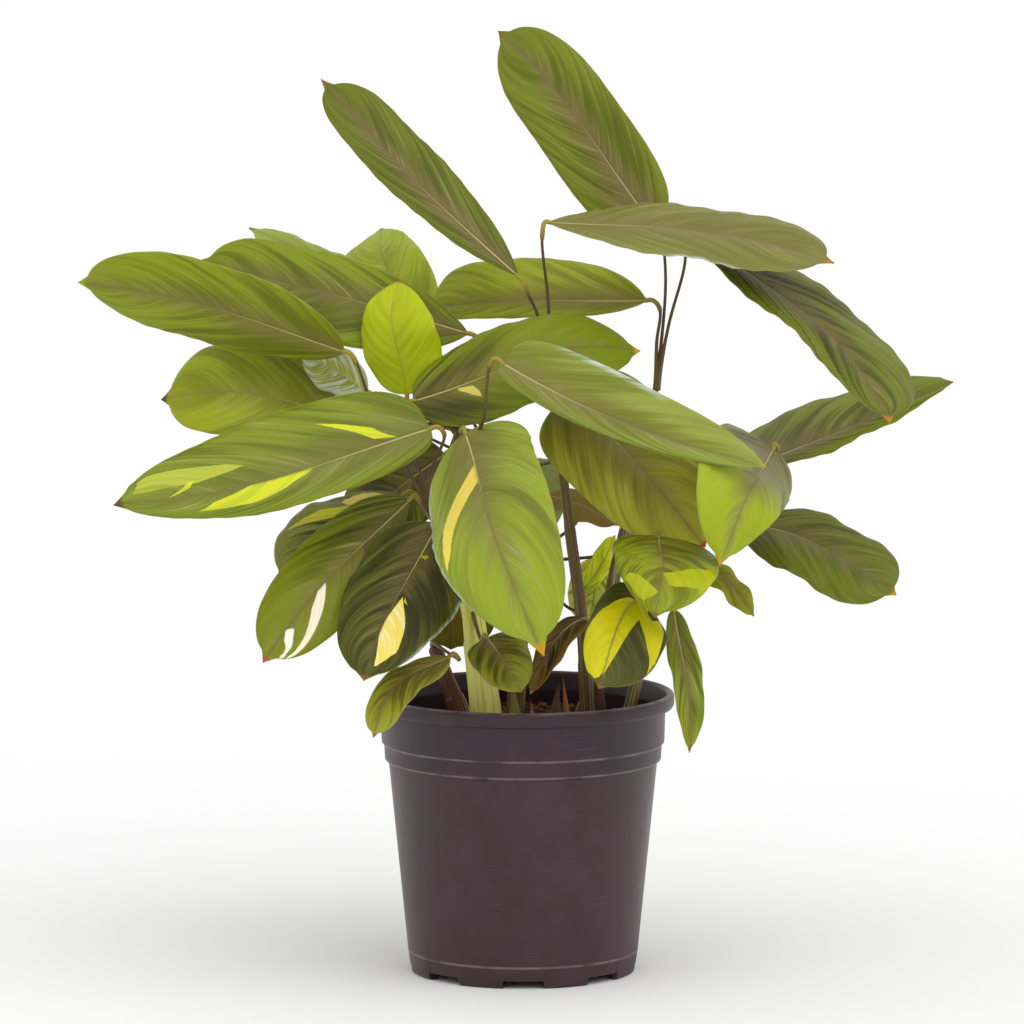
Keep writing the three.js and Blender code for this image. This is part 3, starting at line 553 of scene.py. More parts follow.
POT_OUTLINE = [
    (0.6, 5), (44.4, 5), (53.4, 5), (59.4, 5), (59.4, 0), (62.4, 0), (63.6, 1.2), (64.8, 12), (75.5, 119),
    (77.6, 120.2), (78.1, 128.8), (79.5, 130), (80, 149), (83.8, 149.5), (85, 151.5), (85, 156.6),
    (83.6, 158), (81.9, 158), (80.5, 156.6), (78.2, 147.5), (78.2, 132), (75.8, 128), (73.7, 117),
    (63, 11.2), (60, 7.2), (53.4, 7.2), (44.4, 7.2), (0.6, 7.2),
]


def pot_part():
    """The pot: its rounded outline turned round the axis. The foot ring is lifted by the notch's height at
    angles closer to a notch's middle than asin(half its width / the ring's radius), and the floor is open
    between two rings in as many slots as there are notches."""
    outline = rounded(POT_OUTLINE, 0.8, 5)
    sector = 2 * np.pi / NOTCHES
    edge = math.asin(NOTCH_HALF / FOOT_RADIUS)
    places = np.concatenate([
        np.linspace(-edge, edge, 13), edge + np.array([0.006, 0.016]),
        np.linspace(edge + 0.03, sector - edge - 0.03, 13), sector - edge - np.array([0.016, 0.006])])
    angle = (places[None] + np.arange(NOTCHES)[:, None] * sector).ravel() - np.pi / 2
    local = np.tile(places, NOTCHES)
    rows, columns = len(outline), len(angle)
    radius = np.broadcast_to(outline[:, :1], (rows, columns)).copy()
    height = np.broadcast_to(outline[:, 1:], (rows, columns)).copy()
    notch = NOTCH_HEIGHT * (1 - smooth(np.abs(local), edge, edge + 0.016))[None]
    ring = (radius > 59) & (height < FLOOR_LOW)
    height = np.where(ring & (np.arange(rows)[:, None] < rows // 2), np.maximum(height, notch), height)
    points = np.stack([radius * np.cos(angle), radius * np.sin(angle), height], axis=-1).reshape(-1, 3)
    wall = ribbon(0, rows, columns, wrap=True)
    cell_row = np.repeat(np.arange(rows - 1), columns)
    cell_column = np.tile(np.arange(columns), rows - 1)
    inner = (outline[:, 0] > 43.5) & (outline[:, 0] < 54.3)
    floor_cell = inner[:-1] & inner[1:]
    slot_column = (local > -edge * 1.15) & (local < edge * 0.99)
    open_cell = floor_cell[cell_row] & slot_column[cell_column]
    under = np.flatnonzero(inner & (outline[:, 1] < 6))
    over = np.flatnonzero(inner & (outline[:, 1] > 6))[::-1]
    grid = np.arange(rows * columns).reshape(rows, columns)
    sides = []
    here = np.flatnonzero(slot_column)
    there = (here + 1) % columns
    for low, high, turn in ((under[0], over[0], 1), (under[-1], over[-1], -1)):
        quad = np.stack([grid[low, here], grid[low, there], grid[high, there], grid[high, here]], axis=-1)
        sides.append(quad[:, ::turn])
    first = np.flatnonzero(slot_column & ~np.roll(slot_column, 1))
    final = (np.flatnonzero(slot_column & ~np.roll(slot_column, -1)) + 1) % columns
    for ends, turn in ((first, -1), (final, 1)):
        low, high = grid[under][:, ends], grid[over][:, ends]
        quad = np.stack([low[:-1], low[1:], high[1:], high[:-1]], axis=-1).reshape(-1, 4)
        sides.append(quad[:, ::turn])
    total = rows * columns
    points = np.concatenate([points, [[0, 0, FLOOR_LOW], [0, 0, FLOOR_TOP]]])
    low_ring, top_ring = grid[0], grid[-1]
    caps = [
        np.stack([low_ring, np.roll(low_ring, -1), np.full(columns, total)], axis=-1)[:, ::-1],
        np.stack([top_ring, np.roll(top_ring, -1), np.full(columns, total + 1)], axis=-1),
    ]
    place = np.stack([np.repeat(outline[:, 0], columns), np.repeat(outline[:, 1], columns),
                      np.tile(local, rows)], axis=-1)
    place = np.concatenate([place, place[:1], place[-1:]])
    faces = [wall[~open_cell][:, ::-1], *sides, *caps]
    return {"points": points, "faces": faces, "marks": {"place": place}}


def soil_part(rng):
    """The compost: a disc of rings whose top is raised by two crossed wave patterns and by seeded lumps,
    closed by a wall and a floor just inside the pot's own."""
    rings, columns = 60, 160
    angle = np.arange(columns) * 2 * np.pi / columns
    reach = SOIL_RADIUS * np.linspace(1, 0.01, rings)
    x = reach[:, None] * np.cos(angle)
    y = reach[:, None] * np.sin(angle)
    lumps = rng.uniform(-76, 76, (LUMPS, 2))
    size = rng.uniform(2, 5, LUMPS)
    rise = rng.uniform(0.4, 2.2, LUMPS)
    z = 0.8 * np.sin(x / 7 + 1) * np.cos(y / 7) + 0.35 * np.sin(x * 0.9) * np.sin(y * 0.8 + x * 0.3)
    for (lx, ly), spread, top in zip(lumps, size, rise):
        z = z + top * np.exp(-((x - lx) ** 2 + (y - ly) ** 2) / spread ** 2)
    z = SOIL_LEVEL + np.minimum(z, 2.6) * smooth(SOIL_RADIUS - np.hypot(x, y), -0.5, 3)
    top = np.stack([x, y, z], axis=-1)
    wall = np.array([(59.5, 7.3), (62.5, 11.3), (73.2, 117), (75.3, 128), (77.6, 132)])
    lower = np.stack([wall[:, :1] * np.cos(angle), wall[:, :1] * np.sin(angle),
                      np.broadcast_to(wall[:, 1:], (len(wall), columns))], axis=-1)
    points = np.concatenate([lower, top]).reshape(-1, 3)
    rows = len(wall) + rings
    total = rows * columns
    points = np.concatenate([points, [[0, 0, 7.3], top[-1].mean(axis=0)]])
    grid = np.arange(total).reshape(rows, columns)
    low_ring, top_ring = grid[0], grid[-1]
    faces = [
        ribbon(0, rows, columns, flip=True, wrap=True),
        np.stack([low_ring, np.full(columns, total), np.roll(low_ring, -1)], axis=-1),
        np.stack([top_ring, np.roll(top_ring, -1), np.full(columns, total + 1)], axis=-1),
    ]
    return {"points": points, "faces": faces, "marks": {}}


def chip_parts(rng, count):
    """Bark chips and crumbs on the compost: each a closed block of 3 by 3 by 2 points, pulled towards an
    ellipsoid, jittered, turned and laid at a seeded place."""
    base = np.stack(np.meshgrid([-1, 0, 1], [-1, 0, 1], [-1, 1], indexing="ij"), axis=-1)
    base = base.reshape(-1, 3).astype(float)
    base[:, :2] *= np.where(np.abs(base[:, :2]).sum(axis=1, keepdims=True) > 1.5, 0.8, 1.05)
    grid = np.arange(18).reshape(3, 3, 2)
    top = ribbon(0, 3, 3)
    top, low = grid[..., 1].ravel()[top], grid[..., 0].ravel()[top][:, ::-1]
    rim = [(0, 0), (1, 0), (2, 0), (2, 1), (2, 2), (1, 2), (0, 2), (0, 1)]
    walls = [[grid[a][0], grid[b][0], grid[b][1], grid[a][1]] for a, b in zip(rim, rim[1:] + rim[:1])]
    faces = [np.concatenate([top, low, walls])]
    parts = []
    for _ in range(count):
        size = rng.uniform([1.2, 0.8, 0.4], [5, 2.2, 1.1]) * rng.uniform(0.6, 1.2)
        shape = (base + rng.uniform(-0.22, 0.22, base.shape)) * size
        turn, tilt = rng.uniform(0, 6.28), rng.uniform(-0.5, 0.5)
        c, s, ct, st = math.cos(turn), math.sin(turn), math.cos(tilt), math.sin(tilt)
        tilted = shape @ np.array([[ct, 0, -st], [0, 1, 0], [st, 0, ct]]).T
        turned = tilted @ np.array([[c, -s, 0], [s, c, 0], [0, 0, 1]]).T
        radius, bearing = 74 * math.sqrt(rng.uniform(0, 1)), rng.uniform(0, 6.28)
        place = [radius * math.cos(bearing), radius * math.sin(bearing), SOIL_LEVEL + rng.uniform(0.6, 2.6)]
        parts.append({"points": turned + place, "faces": faces,
                      "marks": {"chip": np.full((18, 3), rng.uniform(0, 1))}})
    return parts


class Tone:
    """A number or vector that varies over a surface: one output socket. Sums and products of it, with
    numbers or with one another, add the sum or product to the finish."""

    def __init__(self, finish, socket):
        self.finish = finish
        self.socket = socket

    def math(self, operation, *others):
        values = dict(enumerate([self, *others]))
        return self.finish.add("Math", {"operation": operation}, values)

    def __add__(self, other):
        return self.math("ADD", other)

    def __sub__(self, other):
        return self.math("SUBTRACT", other)

    def __rsub__(self, other):
        return self.finish.add("Math", {"operation": "SUBTRACT"}, {0: other, 1: self})

    def __mul__(self, other):
        return self.math("MULTIPLY", other)

    def __truediv__(self, other):
        return self.math("DIVIDE", other)

    def __abs__(self):
        return self.math("ABSOLUTE")

    __radd__ = __add__
    __rmul__ = __mul__

    def ramp(self, low, high):
        """0 up to low, 1 from high on, and smooth between. With low above high it falls instead."""
        values = {0: self, 1: low, 2: high}
        return self.finish.add("MapRange", {"interpolation_type": "SMOOTHSTEP"}, values)

    def larger(self, other):
        return self.math("MAXIMUM", other)

    def smaller(self, other):
        return self.math("MINIMUM", other)


class Finish:
    """A material of one surface: its shader, whose constants are set on its own sockets, and one method
    that adds any node to it."""

    def __init__(self, name, **constants):
        self.material = bpy.data.materials.new(name)
        self.material.use_nodes = True
        self.nodes = self.material.node_tree.nodes
        self.links = self.material.node_tree.links
        self.shader = self.nodes["Principled BSDF"]
        for key, value in constants.items():
            self.shader.inputs[key.replace("_", " ")].default_value = value

    def add(self, kind, settings=None, values=None, output=0):
        """Any node, from its type, its settings, which are set first, and the values or links of its
        sockets. Points are the places that its curve runs straight between."""
        node = self.nodes.new("ShaderNode" + kind)
        for key, value in (settings or {}).items():
            if key == "points":
                curve = node.mapping.curves[0]
                curve.points[0].location, curve.points[1].location = value[0], value[-1]
                for x, y in value[1:-1]:
                    curve.points.new(x, y)
                for point in curve.points:
                    point.handle_type = "VECTOR"
                node.mapping.update()
            else:
                setattr(node, key, value)
        for key, value in (values or {}).items():
            self.feed(node.inputs[key], value)
        return Tone(self, node.outputs[output])

    def feed(self, socket, value):
        if isinstance(value, Tone):
            self.links.new(value.socket, socket)
        else:
            socket.default_value = value

    def mark(self, name):
        """The three numbers of a mark on the mesh's points."""
        vector = self.add("Attribute", {"attribute_name": name}, output=1)
        return self.split(vector)

    def split(self, vector):
        first = self.add("SeparateXYZ", values={0: vector})
        outputs = first.socket.node.outputs
        return first, Tone(self, outputs[1]), Tone(self, outputs[2])

    def place(self):
        """The point's own place in metres, the same as in the world."""
        return self.split(self.add("TexCoord", output=3))

    def noise(self, x, y, z, detail=2.0, roughness=0.5):
        """Smooth noise from 0 to 1 at the place x, y, z, in cells about one unit wide."""
        where = self.add("CombineXYZ", values={0: x, 1: y, 2: z})
        values = {"Vector": where, "Scale": 1.0, "Detail": detail, "Roughness": roughness}
        return self.add("TexNoise", values=values)

    def blend(self, first, second, factor):
        """From the first colour to the second by the factor."""
        return self.add("Mix", {"data_type": "RGBA"}, {0: factor, 6: first, 7: second}, output=2)

    def shade(self, colour, factor):
        """A colour times a number."""
        return self.add("VectorMath", {"operation": "SCALE"}, {0: colour, 3: factor})

    def surface(self, colour, roughness=None, height=None, depth=0.0005, strength=0.6):
        """Joins colour, roughness and a bump of the given depth in metres to the shader."""
        self.feed(self.shader.inputs["Base Color"], colour)
        if roughness is not None:
            self.feed(self.shader.inputs["Roughness"], roughness)
        if height is not None:
            bump = self.add("Bump", values={"Strength": strength, "Distance": depth, "Height": height})
            self.feed(self.shader.inputs["Normal"], bump)
        return self


def paint(red, green, blue):
    """A colour read off a screen, as the shader's linear one: (c / 255) to the power 2.2."""
    return (*(np.array([red, green, blue]) / 255) ** 2.2, 1.0)


def between(first, second, share):
    """The colour at a share of the way from the first to the second."""
    return tuple(np.array(first) * (1 - share) + np.array(second) * share)


# The range of the vein coordinate that patches use, and how strongly stems bend light
VEIN_LEAST = 0.4
VEIN_SPAN = 1.4
STEM_IOR = 1.45

# Colours of the foliage
EARTH = paint(118, 100, 64)
# Painted highlight colour: pale streaks that stand in for gloss on the blades
PAINTED_SHEEN = paint(160, 172, 120)
# Painted highlight colour: the blue-white light along a rolled margin
PAINTED_RIM_LIGHT = paint(196, 212, 196)
RIB = paint(184, 170, 112)
RIB_FAR = paint(122, 106, 78)
SPOT = paint(176, 168, 110)
UNDERSIDE = paint(150, 156, 100)
DRY = paint(140, 92, 30)
YELLOW = paint(208, 212, 36)
YELLOW_DULL = paint(184, 192, 44)
GOLD = paint(208, 200, 14)
CREAM = paint(236, 212, 92)
WHITE = paint(244, 236, 212)
LIME = paint(170, 176, 12)
TAN = paint(204, 188, 88)


def blade_places(finish, seed):
    """Places on a blade: u along it, v across it, s where the side vein starts, w the share of the way to
    the margin, reach and margin the millimetres to the midrib and to the edge, under 1 on the lower side,
    and four noises drawn out along the side veins, from broad to fine."""
    u, v, under = finish.mark("blade")
    s, w, half = finish.mark("vein")
    reach = w * half
    hand = v.math("SIGN")
    return SimpleNamespace(
        seed=seed, u=u, v=v, under=under, s=s, w=w, reach=reach, margin=half - reach,
        broad=finish.noise(s * 4.5, v * 1.1 + hand * 2, seed, detail=1),
        bands=finish.noise(s * 15, v * 0.9 + hand * 3, seed + 3.1, detail=2),
        streak=finish.noise(s * 46, v * 1.3 + hand * 5, seed + 7.7, detail=3),
        fine=finish.noise(s * 190, v * 3, seed + 11.3, detail=2),
    )


def green_wash(finish, look, at, earth):
    """Deep to plain green in bands, with bright lobes, a bright end and margin, and an earthy zone by the
    midrib that fades towards the tip and the margin."""
    colour = finish.blend(look["deep"], look["plain"], (at.bands * 0.6 + at.broad * 0.4).ramp(0.38, 0.58))
    lobes = (at.streak * 0.3 + at.bands * 0.5 + at.broad * 0.2 + at.w * 0.14 + at.u * 0.1).ramp(0.56, 0.7)
    start = look["glow_from"]
    glow = (at.u + at.broad * 0.3 + at.bands * 0.25 - at.w * look["inward"]).ramp(start, start + 0.4)
    edge = at.w.ramp(0.7, 1.0) * at.u.ramp(0.75, 0.2)
    bright = (glow * look["glow"]).larger(lobes * look["lobes"]).larger(edge * look["edge"])
    colour = finish.blend(colour, look["bright"], bright)
    zone = (at.bands * 1.3 + at.streak * 0.5 - at.w * 1.15 - at.u * 0.6).ramp(0.0, 0.6)
    return finish.blend(colour, earth, zone * look["earth"])


def vein_lines(at, count):
    """1 along each side vein: where s times the count of veins comes near a whole number."""
    line = abs((at.s * count + at.bands * 0.4).math("FRACT") - 0.5).ramp(0.43, 0.5)
    return line * at.w.ramp(0.0, 0.1) * at.w.ramp(1.0, 0.75)


def patch_mask(finish, patch, at):
    """1 inside a patch, on one hand of the midrib. Its stations give, at shares w of the way from the
    midrib to the margin, the lowest and highest vein coordinate s inside it; its ends are ragged along
    the veins. The curves run from 0 to 1, so s is scaled into that range."""
    hand, stations, _, _ = patch
    first, last = stations[0][0], stations[-1][0]
    curves = [[(row[0], (row[edge] + VEIN_LEAST) / VEIN_SPAN) for row in stations] for edge in (1, 2)]
    low, high = (finish.add("FloatCurve", {"points": points}, {1: at.w}) for points in curves)
    place = at.s / VEIN_SPAN + VEIN_LEAST / VEIN_SPAN + (at.fine - 0.5) * 0.006
    inside = (place - low).ramp(0, 0.004) * (high - place).ramp(0, 0.004) * (at.v * hand).ramp(0, 0.008)
    ragged = at.w + (at.streak - 0.5) * 0.08
    if first > 0.03:
        inside = inside * (ragged - first).ramp(-0.03, 0.0)
    if last < 0.97:
        inside = inside * (last - ragged).ramp(-0.03, 0.0)
    return inside


def upper_side(finish, look, at, line, rib, groove):
    """The upper side, from the greens up: vein lines, lighter and darker streaks, painted highlight
    streaks, patches, spots, the rib with painted shade in the groove along it and an earthy zone beside it,
    the rim, a painted highlight along one margin, and a dry tip."""
    plain = look["plain"]
    earth = between(plain, EARTH, 0.8)
    colour = green_wash(finish, look, at, earth)
    colour = finish.blend(colour, between(plain, RIB, 0.6), line * at.broad.ramp(0.35, 0.6) * look["lines"])
    shade = (at.streak - 0.5) * 0.24 + (at.fine - 0.5) * 0.16 + (at.bands - 0.5) * 0.2 + 1.0
    colour = finish.shade(colour, shade)
    # Painted highlight: pale streaks along the side veins stand in for gloss reflected off the blade's
    # ripples
    painted_gleam = (at.streak * 0.6 + at.fine * 0.4).ramp(0.53, 0.66)
    painted_gleam = painted_gleam * (at.broad * 0.5 + at.bands * 0.5).ramp(0.46, 0.62)
    colour = finish.blend(colour, PAINTED_SHEEN, painted_gleam * look["sheen"])
    for patch in look["patches"]:
        marbled = finish.blend(patch[2], patch[3], (at.streak * 0.5 + at.bands * 0.5).ramp(0.44, 0.62))
        colour = finish.blend(colour, marbled, patch_mask(finish, patch, at))
    spot = finish.noise(at.s * 40, at.v * 14, at.seed + 21, detail=2).ramp(0.74, 0.79)
    colour = finish.blend(colour, SPOT, spot * 0.4)
    beside = at.reach.ramp(2.4, 0.3) * at.streak.ramp(0.35, 0.6) * look["earth"]
    colour = finish.blend(colour, earth, beside * 0.5)
    # Painted shade: the groove along the midrib is darkened towards the deep green
    colour = finish.blend(colour, look["deep"], groove * 0.35)
    rib_colour = finish.blend(look["rib_colour"], RIB_FAR, at.u.ramp(0.1, 0.6))
    colour = finish.blend(colour, rib_colour, rib * (0.9 - at.u * 0.45))
    rim = at.margin.ramp(0.6, 0.15) * at.u.ramp(0.0, 0.06)
    colour = finish.blend(colour, between(plain, RIB, 0.55), rim * look["rim"])
    # Painted highlight: a blue-white band along one rolled margin stands in for the sky reflected there
    if "frost" in look:
        side, first, last, amount = look["frost"]
        frost = at.margin.ramp(2.2, 0.1) * (at.v * side).ramp(0.3, 0.6)
        frost = frost * at.u.ramp(first, first + 0.1) * at.u.ramp(last, last - 0.1)
        frost = frost * (at.streak * 0.6 + at.bands * 0.4).ramp(0.3, 0.6)
        colour = finish.blend(colour, PAINTED_RIM_LIGHT, frost * amount)
    return finish.blend(colour, look["tip"], (at.u + at.fine * 0.01).ramp(0.968, 0.99) * 0.9)


def rib_width(look, at):
    """Half the midrib's width in millimetres, which falls towards the tip."""
    return (1.05 - at.u) * look["rib"] + 0.1


def rib_and_groove(look, at):
    """1 on the midrib, and 1 in the groove that runs along both its sides."""
    across = at.reach / rib_width(look, at)
    rib = across.ramp(1.25, 0.7)
    return rib, (across.ramp(3.2, 1.2) - rib).larger(0.0)


def lower_side(finish, look, at):
    """The underside: one dull green in soft bands, silver streaks where the blade has them, and the rib."""
    back = look.get("under", between(look["plain"], UNDERSIDE, 0.45))
    colour = finish.blend(back, between(back, look["deep"], 0.35), at.bands.ramp(0.4, 0.62) * 0.6)
    if "silver" in look:
        silver = (at.streak * 0.5 + at.bands * 0.5 + at.w * 0.1).ramp(0.5, 0.58)
        colour = finish.blend(colour, look["silver"], silver * 0.9)
    return finish.blend(colour, RIB, (at.reach / rib_width(look, at)).ramp(1.6, 0.9) * 0.7)


def leaf_finish(name, leaf, look, seed):
    """A blade's finish: its upper and lower sides, satin, with low relief along the veins and streaks."""
    finish = Finish(name, IOR=1.4, Specular_IOR_Level=0.3)
    at = blade_places(finish, seed)
    line = vein_lines(at, float(side_veins(leaf)))
    rib, groove = rib_and_groove(look, at)
    upper = upper_side(finish, look, at, line, rib, groove)
    colour = finish.blend(upper, lower_side(finish, look, at), at.under)
    roughness = look["gloss"] + (at.streak - 0.5) * 0.2 + (at.fine - 0.5) * 0.1 + at.under * 0.12
    height = 0.5 - line * 0.5 + (at.streak - 0.5) * 0.9 + (at.fine - 0.5) * 0.35 - groove * 0.4
    return finish.surface(colour, roughness, height, depth=0.0004, strength=0.5)


def stalk_finish(name, foot, run, joint):
    """Leaf stalks: brown with greener clouds along their run, paler near the foot, with a yellow joint
    at the end that is darker where it begins. Fine lines run along them."""
    finish = Finish(name, IOR=STEM_IOR)
    length, turn, part = finish.mark("stem")
    left, share, _ = finish.mark("left")
    lines = finish.noise(length * 0.03, turn * 9, part * 40, detail=2)
    cloud = finish.noise(length * 0.09, turn * 1.5, part * 70, detail=2)
    colour = finish.blend(run, foot, length.ramp(45, 5))
    greener = between(run, paint(120, 120, 50), 0.6)
    colour = finish.blend(colour, greener, (cloud - share * 0.1).ramp(0.5, 0.72) * 0.7)
    colour = finish.shade(colour, (lines - 0.5) * 0.7 + 1.0)
    swollen = left.ramp(15.5, 12.0)
    darker = between(joint, paint(120, 70, 30), 0.55)
    joint_colour = finish.blend(joint, darker, (left * 0.08 + cloud * 0.6).ramp(0.9, 1.4))
    colour = finish.blend(colour, joint_colour, swollen)
    height = lines * 0.6 + cloud * 0.4
    roughness = 0.5 - swollen * 0.1 + (lines - 0.5) * 0.2
    return finish.surface(colour, roughness, height, depth=0.0003, strength=0.5)


def cane_finish(name, low, high, dark):
    """Canes: one colour at the foot, another above, long pale and dark lines, and papery brown patches low
    down."""
    finish = Finish(name, IOR=STEM_IOR)
    length, turn, _ = finish.mark("stem")
    _, share, _ = finish.mark("left")
    lines = finish.noise(length * 0.012, turn * 16, 1.0, detail=3)
    fine = finish.noise(length * 0.03, turn * 60, 5.0, detail=2)
    cloud = finish.noise(length * 0.03, turn * 2.2, 9.0, detail=3)
    colour = finish.blend(low, high, (share + (cloud - 0.5) * 0.5).ramp(0.15, 0.7))
    colour = finish.blend(colour, dark, lines.ramp(0.5, 0.66) * 0.75)
    colour = finish.blend(colour, between(low, paint(236, 228, 176), 0.7), lines.ramp(0.44, 0.34) * 0.55)
    colour = finish.blend(colour, paint(96, 66, 44), (cloud + share * -0.9).ramp(0.36, 0.56) * 0.7)
    colour = finish.shade(colour, (fine - 0.5) * 0.4 + 1.0)
    height = lines * 0.7 + fine * 0.3
    return finish.surface(colour, 0.5 + (fine - 0.5) * 0.2, height, depth=0.0006, strength=0.6)


def husk_finish(name, low, high, tip):
    """Small sheaths: one colour at the foot, another above, a dry tip, and lines that run up them."""
    finish = Finish(name, IOR=STEM_IOR)
    length, turn, _ = finish.mark("stem")
    _, share, _ = finish.mark("left")
    lines = finish.noise(length * 0.03, turn * 18, 2.0, detail=3)
    cloud = finish.noise(length * 0.15, turn * 3, 6.0, detail=2)
    colour = finish.blend(low, high, (share + (cloud - 0.5) * 0.5).ramp(0.35, 0.65))
    colour = finish.blend(colour, tip, (share + (cloud - 0.5) * 0.3).ramp(0.82, 0.97))
    colour = finish.shade(colour, (lines - 0.5) * 0.9 + 1.0)
    height = lines * 0.7 + cloud * 0.3
    return finish.surface(colour, 0.7 + (lines - 0.5) * 0.3, height, depth=0.0008, strength=0.7)


def soil_finish():
    """Compost: dark peat with paler fibres and grains."""
    finish = Finish("compost", Roughness=0.9, IOR=1.4)
    x, y, z = finish.place()
    grain = finish.noise(x * 900, y * 900, z * 900, detail=4, roughness=0.7)
    clods = finish.noise(x * 160, y * 160, z * 160, detail=3)
    colour = finish.blend(paint(38, 27, 18), paint(78, 56, 38), clods.ramp(0.4, 0.62))
    colour = finish.blend(colour, paint(128, 98, 68), grain.ramp(0.62, 0.72) * 0.7)
    colour = finish.shade(colour, (grain - 0.5) * 1.2 + 1.0)
    return finish.surface(colour, None, grain * 0.6 + clods * 0.4, depth=0.0015, strength=0.9)


def chip_finish():
    """Bark chips: browns from dark to tan, each chip with its own, with grain along them."""
    finish = Finish("bark chips", Roughness=0.85, IOR=1.4)
    kind, _, _ = finish.mark("chip")
    x, y, z = finish.place()
    grain = finish.noise(x * 700, y * 1400, z * 700, detail=3)
    colour = finish.blend(paint(52, 36, 25), paint(122, 86, 56), kind)
    colour = finish.shade(colour, (grain - 0.5) * 0.9 + 1.0)
    return finish.surface(colour, None, grain, depth=0.0008, strength=0.8)


def pot_finish():
    """Dark purple-brown plastic: satin, clouded by handling, with painted shade on the upper band, dusty
    near the foot, with fine level scratches, and paler along the lip, the steps and the edge above the
    foot, partly from wear and partly as a painted highlight."""
    finish = Finish("nursery pot plastic", IOR=1.5)
    _, height, _ = finish.mark("place")
    x, y, z = finish.place()
    cloud = finish.noise(x * 22, y * 22, z * 14, detail=4, roughness=0.6)
    mottle = finish.noise(x * 70, y * 70, z * 55, detail=3)
    grain = finish.noise(x * 1400, y * 1400, z * 1400, detail=2)
    scratch = finish.noise(x * 35, y * 35, z * 1500, detail=2).ramp(0.63, 0.72)
    body = paint(52, 28, 36)
    # Painted shade: the upper band under the lip, of the same plastic, is painted darker than the body
    shaded_band = paint(45, 20, 33)
    colour = finish.blend(body, shaded_band, height.ramp(117, 121))
    colour = finish.blend(colour, paint(68, 42, 54), (cloud * 0.7 + mottle * 0.3).ramp(0.46, 0.66) * 0.45)
    colour = finish.blend(colour, paint(34, 21, 24), (cloud * 0.5 + mottle * 0.5).ramp(0.46, 0.34) * 0.5)
    dust = (height * -0.012 + cloud + 0.1).ramp(0.5, 0.75)
    colour = finish.blend(colour, paint(82, 60, 72), dust * 0.2)
    colour = finish.blend(colour, paint(94, 76, 86), scratch * mottle.ramp(0.5, 0.62) * 0.25)
    # Partly edge wear and partly painted highlight: paler lines along the top of the lip, the two steps and
    # the edge above the foot
    steps = abs(height - 120.2).ramp(1.1, 0.3) + abs(height - 129.8).ramp(1.0, 0.3)
    wear_and_highlight = (height.ramp(156.4, 157.6) + steps + abs(height - 12).ramp(1.0, 0.2)).smaller(1.0)
    colour = finish.blend(colour, paint(140, 120, 122), wear_and_highlight * (mottle.ramp(0.3, 0.6) * 0.4 + 0.12))
    roughness = 0.4 + (cloud - 0.5) * 0.25 + (mottle - 0.5) * 0.12 + dust * 0.15
    relief = grain * 0.5 + cloud * 0.5 + scratch * -0.4
    return finish.surface(colour, roughness, relief, depth=0.0002, strength=0.4)


# What a blade shows unless it says otherwise: how much of each zone, where the bright end begins, and more
USUAL = {
    "earth": 0.5, "lobes": 0.6, "glow_from": 0.85, "glow": 0.6, "inward": 0.0, "edge": 0.3, "lines": 0.35,
    "sheen": 0.25, "rib": 0.38, "rim": 0.5, "gloss": 0.42, "rib_colour": RIB, "tip": DRY, "patches": [],
}


def shows(plain, deep, bright, **more):
    """What a blade shows: its own plain, deep and bright greens as read off a screen, and its own
    shares."""
    greens = {"plain": paint(*plain), "deep": paint(*deep), "bright": paint(*bright)}
    return {**USUAL, **greens, **more}


# Finishes of the blades that only the back and the sides show
OLIVE = shows([92, 99, 11], [80, 84, 10], [111, 119, 16], earth=0.6, lobes=0.6)
FRESH = shows([130, 138, 20], [120, 126, 19], [146, 155, 26], earth=0.3, lobes=0.8)
MOSAIC = shows([114, 127, 31], [96, 107, 24], [173, 184, 34], earth=0.5, sheen=0.5)

